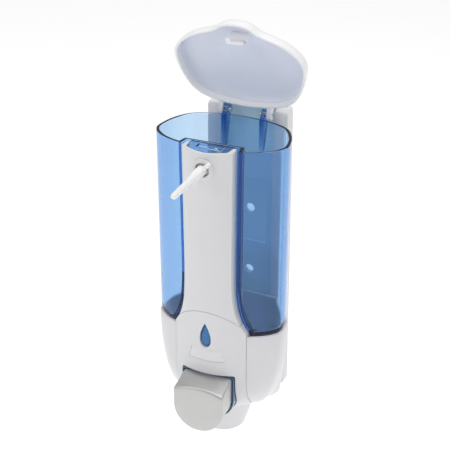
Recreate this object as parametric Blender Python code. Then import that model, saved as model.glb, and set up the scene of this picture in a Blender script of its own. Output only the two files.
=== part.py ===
"""Wall mounted soap dispenser with a hinged, key locked lid and a horizontal piston pump.

Lengths are in millimetres and become metres in add_object. +Z is up, the front faces -Y and the
wall is the plane y = 0. z = 0 is the middle of the back plate, and x = 0 is the plane of symmetry.
"""

import math

import bmesh
import bpy
from mathutils import Matrix, Vector

MM = 0.001
GAP = 0.35  # between touching pieces

# Tank and lid, seen from above: half outlines as (x, y), front to back
TANK_HALF_PLAN = [(0, -73.2), (12, -73.0), (22, -72.0), (32.5, -68.2), (40.5, -62.0), (44.6, -55.0),
                  (44.2, -46.0), (41.4, -36.5), (36.2, -27.5), (29.0, -22.0), (18.0, -18.4), (0, -16.6)]
LID_HALF_PLAN = [(0, -81.6), (6.0, -81.0), (10.5, -79.2), (14.0, -76.6), (18.0, -74.6), (25.0, -72.2),
                 (33.0, -68.6), (40.8, -62.6), (45.0, -55.2), (44.5, -46.2), (41.6, -36.6),
                 (36.4, -27.6), (29.0, -22.0), (18.0, -18.8), (0, -17.2)]
RIM_Z = 99.2
TANK_BOTTOM = -33.5
TANK_FLOOR = 2.5
TANK_WALL = 2.0
TANK_DRAFT = 0.022  # how much narrower the tank is at its bottom
PLAN_CENTRE_Y = -45.0
RECESS_Y = -66.0  # the tank's front wall behind the strip
RECESS_SIDE = 2.4  # clear space beside the strip

# Front strip and cover
STRIP_TOP = 99.2  # clear of the closed lid
STRIP_HALF_WIDTH = 16.6
STRIP_BOTTOM = -24.5
STRIP_BACK_Y = -68.6
FLARE_TOP = 20.0
SEAM_Z = -31.0
SEAM_X = 25.4
STRIP_EDGE_Y = -75.6
SEAM_EDGE_Y = -71.4
FRONT_Y_TOP = -83.0
FRONT_Y_SEAM = -81.0
SHELL = 2.0
ARCH_TOP = -14.5  # the arched joint between the strip and the cover
ARCH_DROP = 8.5
ARCH_HALF_WIDTH = 19.5
COVER_BOTTOM = -92.0
DROP_WIDTH, DROP_TOP, DROP_BOTTOM = 3.65, -23.9, -41.6  # the level window
DROP_GAP = 0.35
BADGE_ROWS = ((-52.3, 13.0), (-48.0, 11.7), (-43.9, 10.4))  # z and half width of the blank plate

# Base housing
HOUSING_HALF_PLAN = [(0, -71.0), (25.8, -71.0), (36.5, -65.2), (43.2, -58.4), (44.3, -51.5),
                     (43.2, -43.0), (39.6, -34.0), (34.2, -25.6), (29.6, -18.0), (28.3, -10.3), (0, -10.3)]
HOUSING_TOP = -33.9
HOUSING_CORE_X = 26.0  # what stays of the half width at the bottom
HOUSING_TURN_Z = -36.0
HOUSING_TURN_HEIGHT = 57.5
HOUSING_BACK_Y = (-46.0, -20.0)  # the sides turn in less and less over this stretch
FRONT_TURN_Y = -52.0
FRONT_TURN_Z = -70.0
FRONT_TURN_HEIGHT = 24.0
BOTTOM_SLOPE = 0.19  # the bottom rises towards the front
BOTTOM_Z = -105.0

# Spout shroud
SPOUT_Y = -50.0
SPOUT_TOP = (24.4, -88.0)
SPOUT_END = (15.0, -117.0)

# Back plate
PLATE_HALF_WIDTH = 28.3
PLATE_HALF_HEIGHT = 105.0
WEB_Y = -4.0
RAIL_Y = -10.0
RAIL_INNER_X = 19.2
SCREW_HOLE_Z = (26.7, -20.0)
SCREW_HOLE_RADIUS = 3.3
PLATE_CORNER = 4.0
POCKET_LOW, POCKET_HIGH = (-12.4, -6, 2), (12.4, -2.6, 49.5)
HOUSING_SCREW_X, HOUSING_SCREW_Z = 22.9, -60.0

# Lid and hinge
HINGE_Y, HINGE_Z = -12.3, 100.5
HINGE_X = (11.7, 15.1)  # the tank's lugs
EAR_X = (15.5, 18.3)  # the lid's ears
PIN_RADIUS = 1.25
PIN_GAP = 0.2
LID_OPEN = math.radians(73)  # from closed
LID_RIM = 99.5
SHELF_Z = (97.2, 98.9)  # the ledge behind the strip's top, which the latch goes under

# Lock and key
LOCK_Z = 88.3
KEY_ANGLE = math.radians(45)
LOCK_BORE = 4.7
BOSS_RADIUS = 7.2
CAM_Y = (-72.6, -71.1)

# Push button, along its travel
BUTTON_FRONT, BUTTON_BACK = -94.2, -70.0
BUTTON_MID_Z = -82.0
BUTTON_TRAVEL = 8.0
BUTTON_TOP_RUN = 17.0  # how far the top slopes from the front
BUTTON_WALL = 1.8
BEZEL_Y = (-77.0, -64.0)
BEZEL_GAP, BEZEL_WALL = 0.55, 0.8
COVER_GAP = 0.4  # round the bezel

# Pump
PUMP_Z = -82.0
PORT_Y = -49.0
BARREL_FRONT, BARREL_BACK = -70.0, -43.2
BARREL_RADIUS, BORE_RADIUS = 8.5, 6.8
PORT_RADIUS = 1.7
PUMP_SCREW_X = 14.0
DRAIN_OUTER, DRAIN_INNER = 4.4, 2.8  # the tank's outlet
INLET_BALL_Z, OUTLET_BALL_Z = -61.4, -92.7

WHITE = ("white_abs", (0.80, 0.80, 0.81, 1), 0.32, 0.0)
LID_WHITE = ("lid_white", (0.83, 0.83, 0.85, 1), 0.30, 0.0)
PLATE_WHITE = ("plate_white", (0.78, 0.78, 0.79, 1), 0.42, 0.0)
BLUE = ("blue_polycarbonate", (0.12, 0.33, 0.72, 0.45), 0.08, 0.0)
DEEP_BLUE = ("deep_blue", (0.03, 0.16, 0.36, 1), 0.15, 0.0)
SATIN = ("satin_silver", (0.58, 0.575, 0.57, 1), 0.38, 0.55)
NATURAL = ("natural_plastic", (0.72, 0.72, 0.68, 1), 0.4, 0.0)
RUBBER = ("black_rubber", (0.03, 0.03, 0.03, 1), 0.6, 0.0)
SILICONE = ("clear_silicone", (0.75, 0.76, 0.78, 1), 0.35, 0.0)
STEEL = ("steel", (0.62, 0.62, 0.64, 1), 0.25, 1.0)


# ---------------------------------------------------------------- helpers


def clear_scene():
    for obj in list(bpy.data.objects):
        bpy.data.objects.remove(obj, do_unlink=True)


def finish_material(finish):
    name, colour, roughness, metallic = finish
    material = bpy.data.materials.get(name) or bpy.data.materials.new(name)
    material.use_nodes = True
    material.diffuse_color = colour
    shader = material.node_tree.nodes["Principled BSDF"]
    shader.inputs["Base Color"].default_value = colour
    shader.inputs["Alpha"].default_value = colour[3]
    shader.inputs["Roughness"].default_value = roughness
    shader.inputs["Metallic"].default_value = metallic
    return material


def add_object(name, bm, finish, origin=(0, 0, 0)):
    """An object in metres with its origin at origin, closed and facing out."""
    bmesh.ops.remove_doubles(bm, verts=bm.verts, dist=1e-4)
    bmesh.ops.recalc_face_normals(bm, faces=bm.faces)
    bmesh.ops.translate(bm, verts=bm.verts, vec=-Vector(origin))
    bmesh.ops.scale(bm, verts=bm.verts, vec=(MM, MM, MM))
    mesh = bpy.data.meshes.new(name)
    bm.to_mesh(mesh)
    bm.free()
    mesh.shade_smooth()
    mesh.set_sharp_from_angle(angle=math.radians(35))
    obj = bpy.data.objects.new(name, mesh)
    obj.location = Vector(origin) * MM
    bpy.context.scene.collection.objects.link(obj)
    if finish:
        mesh.materials.append(finish_material(finish))
    return obj


def boolean(obj, bm, operation):
    """Adds a Boolean with a hidden helper made from bm."""
    count = len(obj.modifiers)
    helper = add_object(f"{obj.name}_helper_{count}", bm, None)
    helper.hide_render = True
    helper.display_type = "WIRE"
    modifier = obj.modifiers.new(f"{operation.lower()}_{count}", "BOOLEAN")
    modifier.operation = operation
    modifier.object = helper


def carve(obj, *cutters):
    for bm in cutters:
        boolean(obj, bm, "DIFFERENCE")


def unite(obj, *others):
    for bm in others:
        boolean(obj, bm, "UNION")


def loft(loops):
    """A solid through loops of equal length, with a cap on the first and the last."""
    bm = bmesh.new()
    rings = [[bm.verts.new(point) for point in loop] for loop in loops]
    count = len(rings[0])
    for lower, upper in zip(rings, rings[1:]):
        for i in range(count):
            j = (i + 1) % count
            bm.faces.new((lower[i], lower[j], upper[j], upper[i]))
    bm.faces.new(rings[0][::-1])
    bm.faces.new(rings[-1])
    return bm


def box(low, high):
    bm = bmesh.new()
    bmesh.ops.create_cube(bm, size=1)
    size = Vector(high) - Vector(low)
    bmesh.ops.scale(bm, verts=bm.verts, vec=size)
    bmesh.ops.translate(bm, verts=bm.verts, vec=Vector(low) + size / 2)
    return bm


def along_y(points, y0, y1):
    """A prism of an outline in (x, z) from y0 to y1."""
    return loft([[(x, y, z) for x, z in points] for y in (y0, y1)])


def along_x(points, x0, x1):
    """A prism of an outline in (y, z) from x0 to x1."""
    return loft([[(x, y, z) for y, z in points] for x in (x0, x1)])


def along_z(points, z0, z1):
    """A prism of an outline in (x, y) from z0 to z1."""
    return loft([[(x, y, z) for x, y in points] for z in (z0, z1)])


def turned(profile, centre, axis="Z", segments=28, ring=False):
    """A turned solid. profile holds (radius, distance along the axis); ring closes it on itself."""
    bm = bmesh.new()
    verts = [bm.verts.new((radius, 0, height)) for radius, height in profile]
    edges = [bm.edges.new(pair) for pair in zip(verts, verts[1:])]
    if ring:
        edges.append(bm.edges.new((verts[-1], verts[0])))
    bmesh.ops.spin(bm, geom=verts + edges, cent=(0, 0, 0), axis=(0, 0, 1), angle=math.tau,
                   steps=segments, use_merge=True)
    bmesh.ops.remove_doubles(bm, verts=bm.verts, dist=1e-4)
    quarter = math.pi / 2
    turns = {"Z": Matrix(), "Y": Matrix.Rotation(-quarter, 4, "X"), "X": Matrix.Rotation(quarter, 4, "Y")}
    bmesh.ops.transform(bm, matrix=Matrix.Translation(centre) @ turns[axis], verts=bm.verts)
    return bm


def rod(radius, start, end, centre, axis="Z", segments=28):
    """A plain cylinder along an axis through centre, from start to end."""
    return turned([(0, start), (radius, start), (radius, end), (0, end)], centre, axis, segments)


def tube(inner, outer, start, end, centre, axis="Z", segments=28):
    profile = [(inner, start), (outer, start), (outer, end), (inner, end)]
    return turned(profile, centre, axis, segments, ring=True)


def ball(radius, centre, segments=16):
    steps = segments // 2
    profile = [(radius * math.sin(math.pi * i / steps), -radius * math.cos(math.pi * i / steps))
               for i in range(steps + 1)]
    return turned(profile, centre, "Z", segments)


def coil(radius, wire, start, end, turns, centre, axis="Z"):
    """A spring whose wire has a hexagonal section, with flat wound ends."""
    steps, sides = 12, 6
    total = steps * turns
    low, high = start + wire, end - wire
    bm_loops = []
    for i in range(total + 1):
        angle = math.tau * i / steps
        share = min(max((i - steps) / (total - 2 * steps), 0), 1)
        inset = 2.3 * wire * min(i / steps, (total - i) / steps, 1)
        height = low + inset + (high - low - 4.6 * wire) * share
        if i > total / 2:
            height = high - inset - (high - low - 4.6 * wire) * (1 - share)
        out = Vector((math.cos(angle), math.sin(angle), 0))
        bm_loops.append([out * (radius + wire * math.cos(math.tau * k / sides))
                         + Vector((0, 0, height + wire * math.sin(math.tau * k / sides)))
                         for k in range(sides)])
    bm = loft(bm_loops)
    turn = Matrix() if axis == "Z" else Matrix.Rotation(-math.pi / 2, 4, "X")
    bmesh.ops.transform(bm, matrix=Matrix.Translation(centre) @ turn, verts=bm.verts)
    return bm


def smooth_curve(points, pieces, before, after):
    """Points along a smooth curve through points, which before and after lead into and out of."""
    guides = [before] + list(points) + [after]
    curve = []
    for i in range(1, len(guides) - 2):
        a, b, c, d = (Vector(guides[i + k]) for k in (-1, 0, 1, 2))
        for k in range(pieces):
            t = k / pieces
            curve.append(0.5 * (2 * b + (c - a) * t + (2 * a - 5 * b + 4 * c - d) * t ** 2
                                + (3 * b - a - 3 * c + d) * t ** 3))
    curve.append(Vector(points[-1]))
    return curve


def smooth_half(points, pieces):
    """A smooth curve through a half outline that starts and ends on x = 0."""
    return smooth_curve(points, pieces, (-points[1][0], points[1][1]), (-points[-2][0], points[-2][1]))


def resample(points, count):
    """count points at equal steps along a line of points."""
    lengths = [0.0]
    for a, b in zip(points, points[1:]):
        lengths.append(lengths[-1] + (Vector(b) - Vector(a)).length)
    out, i = [], 0
    for k in range(count):
        want = lengths[-1] * k / (count - 1)
        while i < len(points) - 2 and lengths[i + 1] < want:
            i += 1
        t = (want - lengths[i]) / (lengths[i + 1] - lengths[i])
        out.append(Vector(points[i]).lerp(Vector(points[i + 1]), t))
    return out


def mirrored_loop(half):
    """The whole outline of a half outline whose ends lie on x = 0."""
    return [(p[0], p[1]) for p in half] + [(-p[0], p[1]) for p in half[-2:0:-1]]


def inset(loop, distance):
    """The outline moved inwards by distance, with mitred corners."""
    points = [Vector(p) for p in loop]
    area = sum(a.x * b.y - b.x * a.y for a, b in zip(points, points[1:] + points[:1]))
    turn = 1 if area > 0 else -1
    moved = []
    for i, point in enumerate(points):
        before = (point - points[i - 1]).normalized()
        after = (points[(i + 1) % len(points)] - point).normalized()
        n1, n2 = Vector((-before.y, before.x)) * turn, Vector((-after.y, after.x)) * turn
        moved.append(tuple(point + (n1 + n2) * distance / (1 + n1.dot(n2))))
    return moved


def at_height(loop, z, scale=1.0, slope=0.0):
    """An outline at height z, scaled about the plan's centre and tilted along y."""
    return [(x * scale, PLAN_CENTRE_Y + (y - PLAN_CENTRE_Y) * scale, z - slope * y) for x, y in loop]


# ---------------------------------------------------------------- front strip and cover


def flare(z):
    """0 along the strip, rising to 1 where the cover meets the housing's seam."""
    return min(max((FLARE_TOP - z) / (FLARE_TOP - SEAM_Z), 0), 1) ** 4


def front_half_width(z):
    straight = STRIP_HALF_WIDTH + 0.6 * max((z - FLARE_TOP) / (STRIP_TOP - FLARE_TOP), 0)
    return straight + (SEAM_X - STRIP_HALF_WIDTH) * flare(z)


def front_turn(z):
    """How far the front has turned under: 1 above FRONT_TURN_Z, falling below it."""
    return math.sqrt(1 - min(max((FRONT_TURN_Z - z) / FRONT_TURN_HEIGHT, 0), 0.97) ** 2)


def front_edge_y(z):
    """y of the front panel's side edges."""
    if z > SEAM_Z:
        return STRIP_EDGE_Y + (SEAM_EDGE_Y - STRIP_EDGE_Y) * flare(z)
    return FRONT_TURN_Y + (SEAM_EDGE_Y - FRONT_TURN_Y) * front_turn(z)


def front_centre_y(z):
    """y of the front panel on the plane of symmetry."""
    if z > SEAM_Z:
        return FRONT_Y_TOP + (FRONT_Y_SEAM - FRONT_Y_TOP) * (STRIP_TOP - z) / (STRIP_TOP - SEAM_Z)
    down = (SEAM_Z - z) / (SEAM_Z - COVER_BOTTOM)
    return FRONT_Y_SEAM + 1.2 * down + 6.5 * down ** 5


def front_surface(x, z, half_width):
    centre = front_centre_y(z)
    return centre + (front_edge_y(z) - centre) * (x / half_width) ** 2


def panel_loop(z, half_width, back_y, points=13):
    """A C-shaped section of the front panel: its face, and sides that return to back_y."""
    span = front_half_width(z)
    face = [half_width * (2 * i / (points - 1) - 1) for i in range(points)]
    outer = [(x, front_surface(x, z, span), z) for x in face]
    inner = [(x * (half_width - SHELL) / half_width,
              front_surface(x * (half_width - SHELL) / half_width, z, span) + SHELL, z) for x in face]
    return ([(-half_width, back_y, z)] + outer + [(half_width, back_y, z), (half_width - SHELL, back_y, z)]
            + inner[::-1] + [(SHELL - half_width, back_y, z)])


def arch(side, gap):
    """A cutter on one side of the arched joint: side 1 lies above it, -1 below."""
    reach, steps = 30.0, 16
    xs = [reach * (2 * i / steps - 1) for i in range(steps + 1)]
    curve = [(x, ARCH_TOP + gap - ARCH_DROP * (x / ARCH_HALF_WIDTH) ** 2) for x in xs]
    far = 20.0 if side > 0 else -60.0
    return along_y(curve + [(reach, far), (-reach, far)], -100, -50)


def drop_outline(width, top, bottom, steps=28):
    """A drop: pointed at the top, round at the bottom."""
    middle, half = (top + bottom) / 2, (top - bottom) / 2
    angles = [math.tau * i / steps for i in range(steps)]
    return [(width * 1.3 * math.sin(a) * math.sin(a / 2), middle + half * math.cos(a)) for a in angles]


def front_strip():
    heights = [STRIP_BOTTOM, -20, -15, -9, -2, 8, FLARE_TOP, 60, STRIP_TOP]
    loops = [panel_loop(z, front_half_width(z), STRIP_BACK_Y) for z in heights]
    strip = add_object("front_strip", loft(loops), WHITE)
    carve(strip, arch(-1, 0))
    centre = (0, 0, LOCK_Z)
    carve(strip, rod(LOCK_BORE + 0.9, -90, -76, centre, "Y", 20))
    boss = [(LOCK_BORE, -84.2), (BOSS_RADIUS - 0.5, -84.2), (BOSS_RADIUS, -83.7), (BOSS_RADIUS, -76.4),
            (6.4, -75.6), (6.4, -74.2), (LOCK_BORE, -74.2)]
    unite(strip, turned(boss, centre, "Y", ring=True))


def front_cover():
    heights = [COVER_BOTTOM, -89, -86, -82, -77, -70, -60, -45, SEAM_Z, -27, -22, -17, -12]
    loops = [panel_loop(z, front_half_width(z), -68.0 if z > SEAM_Z else front_edge_y(z) + 4) for z in heights]
    cover = add_object("front_cover", loft(loops), WHITE)
    carve(cover, arch(1, -GAP))
    (top_radius, top_z), (end_radius, end_z) = SPOUT_TOP, SPOUT_END
    shroud = [(top_radius - SHELL, top_z), (top_radius, top_z), (end_radius + 0.4, end_z + 1),
              (end_radius - 0.6, end_z), (end_radius - SHELL, end_z)]
    unite(cover, turned(shroud, (0, SPOUT_Y, 0), segments=40, ring=True))
    opening = button_outline(BEZEL_GAP + BEZEL_WALL + COVER_GAP, 1, 1)
    hole = drop_outline(DROP_WIDTH + DROP_GAP, DROP_TOP + 0.6, DROP_BOTTOM - DROP_GAP)
    carve(cover, along_y(opening, -100, -60), along_y(hole, -90, -60), plate_solid(0.3, 0.5, -1.0))


def plate_solid(grow, outset, inward):
    """The blank plate's space, which follows the cover's face."""
    rows = []
    low, high = BADGE_ROWS[0][0], BADGE_ROWS[-1][0]
    for row_z, half_width in BADGE_ROWS:
        z = row_z - grow if row_z == low else row_z + grow if row_z == high else row_z
        span = front_half_width(z)
        xs = [(half_width + grow) * (i / 4 - 1) for i in range(9)]
        rows.append([(x, front_surface(x, z, span) - outset, z) for x in xs]
                    + [(x, front_surface(x, z, span) - inward, z) for x in xs[::-1]])
    return loft(rows)


def name_plate():
    add_object("name_plate", plate_solid(0.0, -0.1, -0.7), LID_WHITE)


def level_window():
    lens = drop_outline(DROP_WIDTH, DROP_TOP, DROP_BOTTOM)
    window = add_object("level_window", along_y(lens, -80.0, -76.6), BLUE)
    unite(window, along_y(drop_outline(6.5, -20.5, -45.0), -78.0, -76.4))


# ---------------------------------------------------------------- tank


def tank_loop(z, grow=0.0):
    """The tank's outline at height z, with the recess behind the front strip."""
    corner_x = front_half_width(z) + RECESS_SIDE
    curve = smooth_half(TANK_HALF_PLAN, 6)
    front = [p for p in curve if p.x < corner_x and p.y < PLAN_CENTRE_Y]
    rest = curve[len(front):]
    t = (corner_x - front[-1].x) / (rest[0].x - front[-1].x)
    corner = front[-1].lerp(rest[0], t)
    half = [(0, RECESS_Y), (corner_x / 2, RECESS_Y), (corner_x - 1.0, RECESS_Y)] + resample([corner] + rest, 26)
    loop = mirrored_loop([Vector(p) for p in half])
    return inset(loop, grow) if grow else loop


def tank_scale(z):
    return 1 - TANK_DRAFT * (RIM_Z - z) / (RIM_Z - TANK_BOTTOM)


def lug_outline():
    """Side view (y, z) of a hinge lug with the rib that carries it down the tank's back."""
    tip = [(HINGE_Y + 3.6 * math.cos(a), HINGE_Z + 3.6 * math.sin(a))
           for a in (math.radians(135 - 22.5 * i) for i in range(9))]
    return [(-18.4, 77.0), (-18.4, 98.6), (-16.0, 100.4)] + tip + [(-11.0, 93.0), (-13.6, 85.0), (-16.0, 77.0)]


def tank():
    heights = [TANK_BOTTOM, SEAM_Z, -27, -23, -19, -14, -8, 0, FLARE_TOP, 60, RIM_Z]
    floor = TANK_BOTTOM + TANK_FLOOR
    outer = [at_height(tank_loop(z), z, tank_scale(z)) for z in heights]
    inner = [at_height(tank_loop(z, TANK_WALL), z, tank_scale(z)) for z in heights[::-1] if z > floor]
    inner.append(at_height(tank_loop(floor, TANK_WALL), floor, tank_scale(floor)))
    body = add_object("tank", loft(outer + inner), BLUE)
    shelf = [(-14.8, -65.3), (14.8, -65.3), (14.8, -75.2), (8, -78.9), (0, -80.2), (-8, -78.9), (-14.8, -75.2)]
    unite(body, along_z(shelf, *SHELF_Z))
    carve(body, box((-8.8, -73.8, SHELF_Z[0] - 2), (8.8, -67.6, SHELF_Z[1] + 2)))
    for side in (-1, 1):
        x0, x1 = sorted((side * HINGE_X[0], side * HINGE_X[1]))
        unite(body, along_x(lug_outline(), x0, x1))
        carve(body, rod(PIN_RADIUS + PIN_GAP, x0 - 1, x1 + 1, (0, HINGE_Y, HINGE_Z), "X", 16))
    unite(body, rod(DRAIN_OUTER, -54, TANK_BOTTOM + 1, (0, PORT_Y, 0)))
    carve(body, rod(DRAIN_INNER, -56, floor + 1, (0, PORT_Y, 0)))


def hinge_pin(name, side):
    """A headed pin through a lug of the tank and an ear of the lid."""
    profile = [(0, 10.5), (2.2, 10.5), (2.2, 11.3), (PIN_RADIUS, 11.3), (PIN_RADIUS, 18.9), (0, 18.9)]
    centre = (0, HINGE_Y, HINGE_Z)
    bm = turned([(r, side * h) for r, h in profile], centre, "X", 16)
    add_object(name, bm, STEEL, centre)


# ---------------------------------------------------------------- lid


def opened(bm):
    """Turns a shape made in the closed position to where the lid stands open."""
    centre = Vector((0, HINGE_Y, HINGE_Z))
    turn = Matrix.Translation(centre) @ Matrix.Rotation(-LID_OPEN, 4, "X") @ Matrix.Translation(-centre)
    bmesh.ops.transform(bm, matrix=turn, verts=bm.verts)
    return bm


def ear_outline():
    tip = [(HINGE_Y + 3.3 * math.cos(a), HINGE_Z + 3.3 * math.sin(a))
           for a in (math.radians(100 - 25 * i) for i in range(9))]
    return [(-20.0, 100.6), (-20.0, 105.4), (-17.0, 105.4)] + tip


def lid():
    plan = mirrored_loop(smooth_half(LID_HALF_PLAN, 2))
    outside = [(109.2, 11.0), (108.9, 5.5), (107.9, 2.6), (106.0, 1.3), (LID_RIM, 0.0)]
    inside = [(LID_RIM, 1.8), (105.2, 2.9), (106.4, 5.0), (106.8, 10.0)]
    loops = [at_height(inset(plan, d) if d else plan, z) for z, d in outside + inside]
    centre = (0, HINGE_Y, HINGE_Z)
    cover = add_object("lid", opened(loft(loops)), LID_WHITE, centre)
    tongue = [(-6.2, 108), (6.2, 108), (6.2, 98.6), (3.9, 96.2), (-5.6, 96.2), (-6.2, 98.6)]
    hook = box((-5.6, -72.8, 96.2), (-2.4, -68.9, 97.2))
    unite(cover, opened(along_y(tongue, -70.4, -68.6)), opened(hook))
    for side in (-1, 1):
        x0, x1 = sorted((side * EAR_X[0], side * EAR_X[1]))
        unite(cover, opened(along_x(ear_outline(), x0, x1)))
        carve(cover, rod(PIN_RADIUS + PIN_GAP, x0 - 1, x1 + 1, centre, "X", 16))


# ---------------------------------------------------------------- lock and key


def turned_about_lock(bm):
    centre = Vector((0, 0, LOCK_Z))
    turn = Matrix.Translation(centre) @ Matrix.Rotation(KEY_ANGLE, 4, "Y") @ Matrix.Translation(-centre)
    bmesh.ops.transform(bm, matrix=turn, verts=bm.verts)
    return bm


def lock():
    axis = (0, 0, LOCK_Z)
    radius = LOCK_BORE - 0.3
    profile = [(0, -82.0), (radius - 0.4, -82.0), (radius, -81.6), (radius, -74.0), (2.9, -74.0), (2.9, -72.9),
               (2.2, -72.9), (2.2, -71.2), (0, -71.2)]
    barrel = add_object("lock_barrel", turned(profile, axis, "Y"), WHITE, (0, -78, LOCK_Z))
    carve(barrel, turned_about_lock(box((-1.0, -84, LOCK_Z - 3.8), (1.0, -76.5, LOCK_Z + 3.8))))
    carve(barrel, rod(1.1, -75, -70, axis, "Y", 16))
    add_object("lock_clip", tube(3.2, 5.8, -73.8, -73.2, axis, "Y"), STEEL, (0, -73.5, LOCK_Z))
    arm = [(-1.8, 0), (1.8, 0), (1.8, 10.5), (-4.6, 10.5), (-4.6, 9.3), (-1.8, 9.3)]
    shape = turned_about_lock(along_y([(x, LOCK_Z + z) for x, z in arm], *CAM_Y))
    cam = add_object("latch_cam", shape, NATURAL, (0, -72, LOCK_Z))
    unite(cam, rod(4.0, *CAM_Y, axis, "Y"))
    carve(cam, rod(2.5, -75, -70, axis, "Y"))
    screw("cam_screw", axis, -70.9, -74.2, 2.7, 0.85)


def key():
    shank = [(0, -84.0), (3.3, -84.0), (3.4, -90.0), (3.1, -95.0), (2.5, -103.0), (2.1, -122.0),
             (1.9, -125.2), (1.2, -126.2), (0, -126.2)]
    piece = add_object("key", turned(shank[::-1], (0, 0, LOCK_Z), "Y", 20), LID_WHITE, (0, -84, LOCK_Z))
    wing = [(-1.3, -9.0), (1.3, -9.0), (1.3, 9.0), (-1.3, 9.0)]
    unite(piece, turned_about_lock(along_y([(x, LOCK_Z + z) for x, z in wing], -88.4, -85.0)),
          turned_about_lock(box((-0.65, -86, LOCK_Z - 3.4), (0.65, -77.5, LOCK_Z + 3.4))))


# ---------------------------------------------------------------- push button


def button_outline(grow, rise, taper):
    """Outline (x, z) of the button. rise and taper run from 0 at its front to 1 where each has ended."""
    half_width = 18.0 - 0.6 * taper + grow
    top, side_top = -66.5 + 2.3 * rise + grow, -70.5 + 5.6 * rise + grow
    bottom = -100.5 + 3.0 * taper - grow
    over = [(half_width * i / 5, top + (side_top - top) * (i / 5) ** 2) for i in range(-5, 6)]
    over[0], over[-1] = (-half_width + 0.9, over[0][1]), (half_width - 0.9, over[-1][1])
    under = []
    for i in range(17):
        angle = math.pi * i / 16
        under.append((half_width * math.cos(angle), BUTTON_MID_Z + (bottom - BUTTON_MID_Z) * math.sin(angle)))
    return over + [(half_width, side_top - 0.9)] + under + [(-half_width, side_top - 0.9)]


def push_button():
    """A cap whose rear part, as long as its travel, keeps the size that fits the bezel."""
    def section(y, smaller):
        depth = y - BUTTON_FRONT
        outline = button_outline(-smaller, min(depth / BUTTON_TOP_RUN, 1), min(depth / BUTTON_TRAVEL, 1))
        return [(x, y, z) for x, z in outline]
    middle, rear = BUTTON_FRONT + BUTTON_TRAVEL, BUTTON_FRONT + BUTTON_TOP_RUN
    loops = [section(BUTTON_FRONT, 0.8), section(BUTTON_FRONT + 0.9, 0.0), section(middle, 0.0),
             section(rear, 0.0), section(BUTTON_BACK, 0.0), section(BUTTON_BACK, BUTTON_WALL),
             section(rear, BUTTON_WALL), section(middle, BUTTON_WALL), section(BUTTON_FRONT + 2.2, BUTTON_WALL)]
    add_object("push_button", loft(loops), SATIN, (0, BUTTON_BACK, PUMP_Z))


def button_bezel():
    front, back = BEZEL_Y
    outer = BEZEL_GAP + BEZEL_WALL
    ends = ((front, outer), (back, outer), (back, BEZEL_GAP), (front, BEZEL_GAP))
    bm = bmesh.new()
    rings = [[bm.verts.new((x, y, z)) for x, z in button_outline(grow, 1, 1)] for y, grow in ends]
    for a, b in zip(rings, rings[1:] + rings[:1]):
        for i in range(len(a)):
            j = (i + 1) % len(a)
            bm.faces.new((a[i], a[j], b[j], b[i]))
    add_object("button_bezel", bm, DEEP_BLUE)


# ---------------------------------------------------------------- pump


def screw(name, centre, head_y, tip_y, head_radius, shank_radius):
    """A pan head screw along y. head_y is the underside of its head."""
    step = math.copysign(1, tip_y - head_y)
    top_y = head_y - step * 1.5
    profile = [(0, top_y), (head_radius - 0.5, top_y), (head_radius, top_y + step * 0.6), (head_radius, head_y),
               (shank_radius, head_y), (shank_radius, tip_y - step * 0.8), (0, tip_y)]
    add_object(name, turned(profile, centre, "Y", 16), STEEL, (centre[0], head_y, centre[2]))


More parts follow.
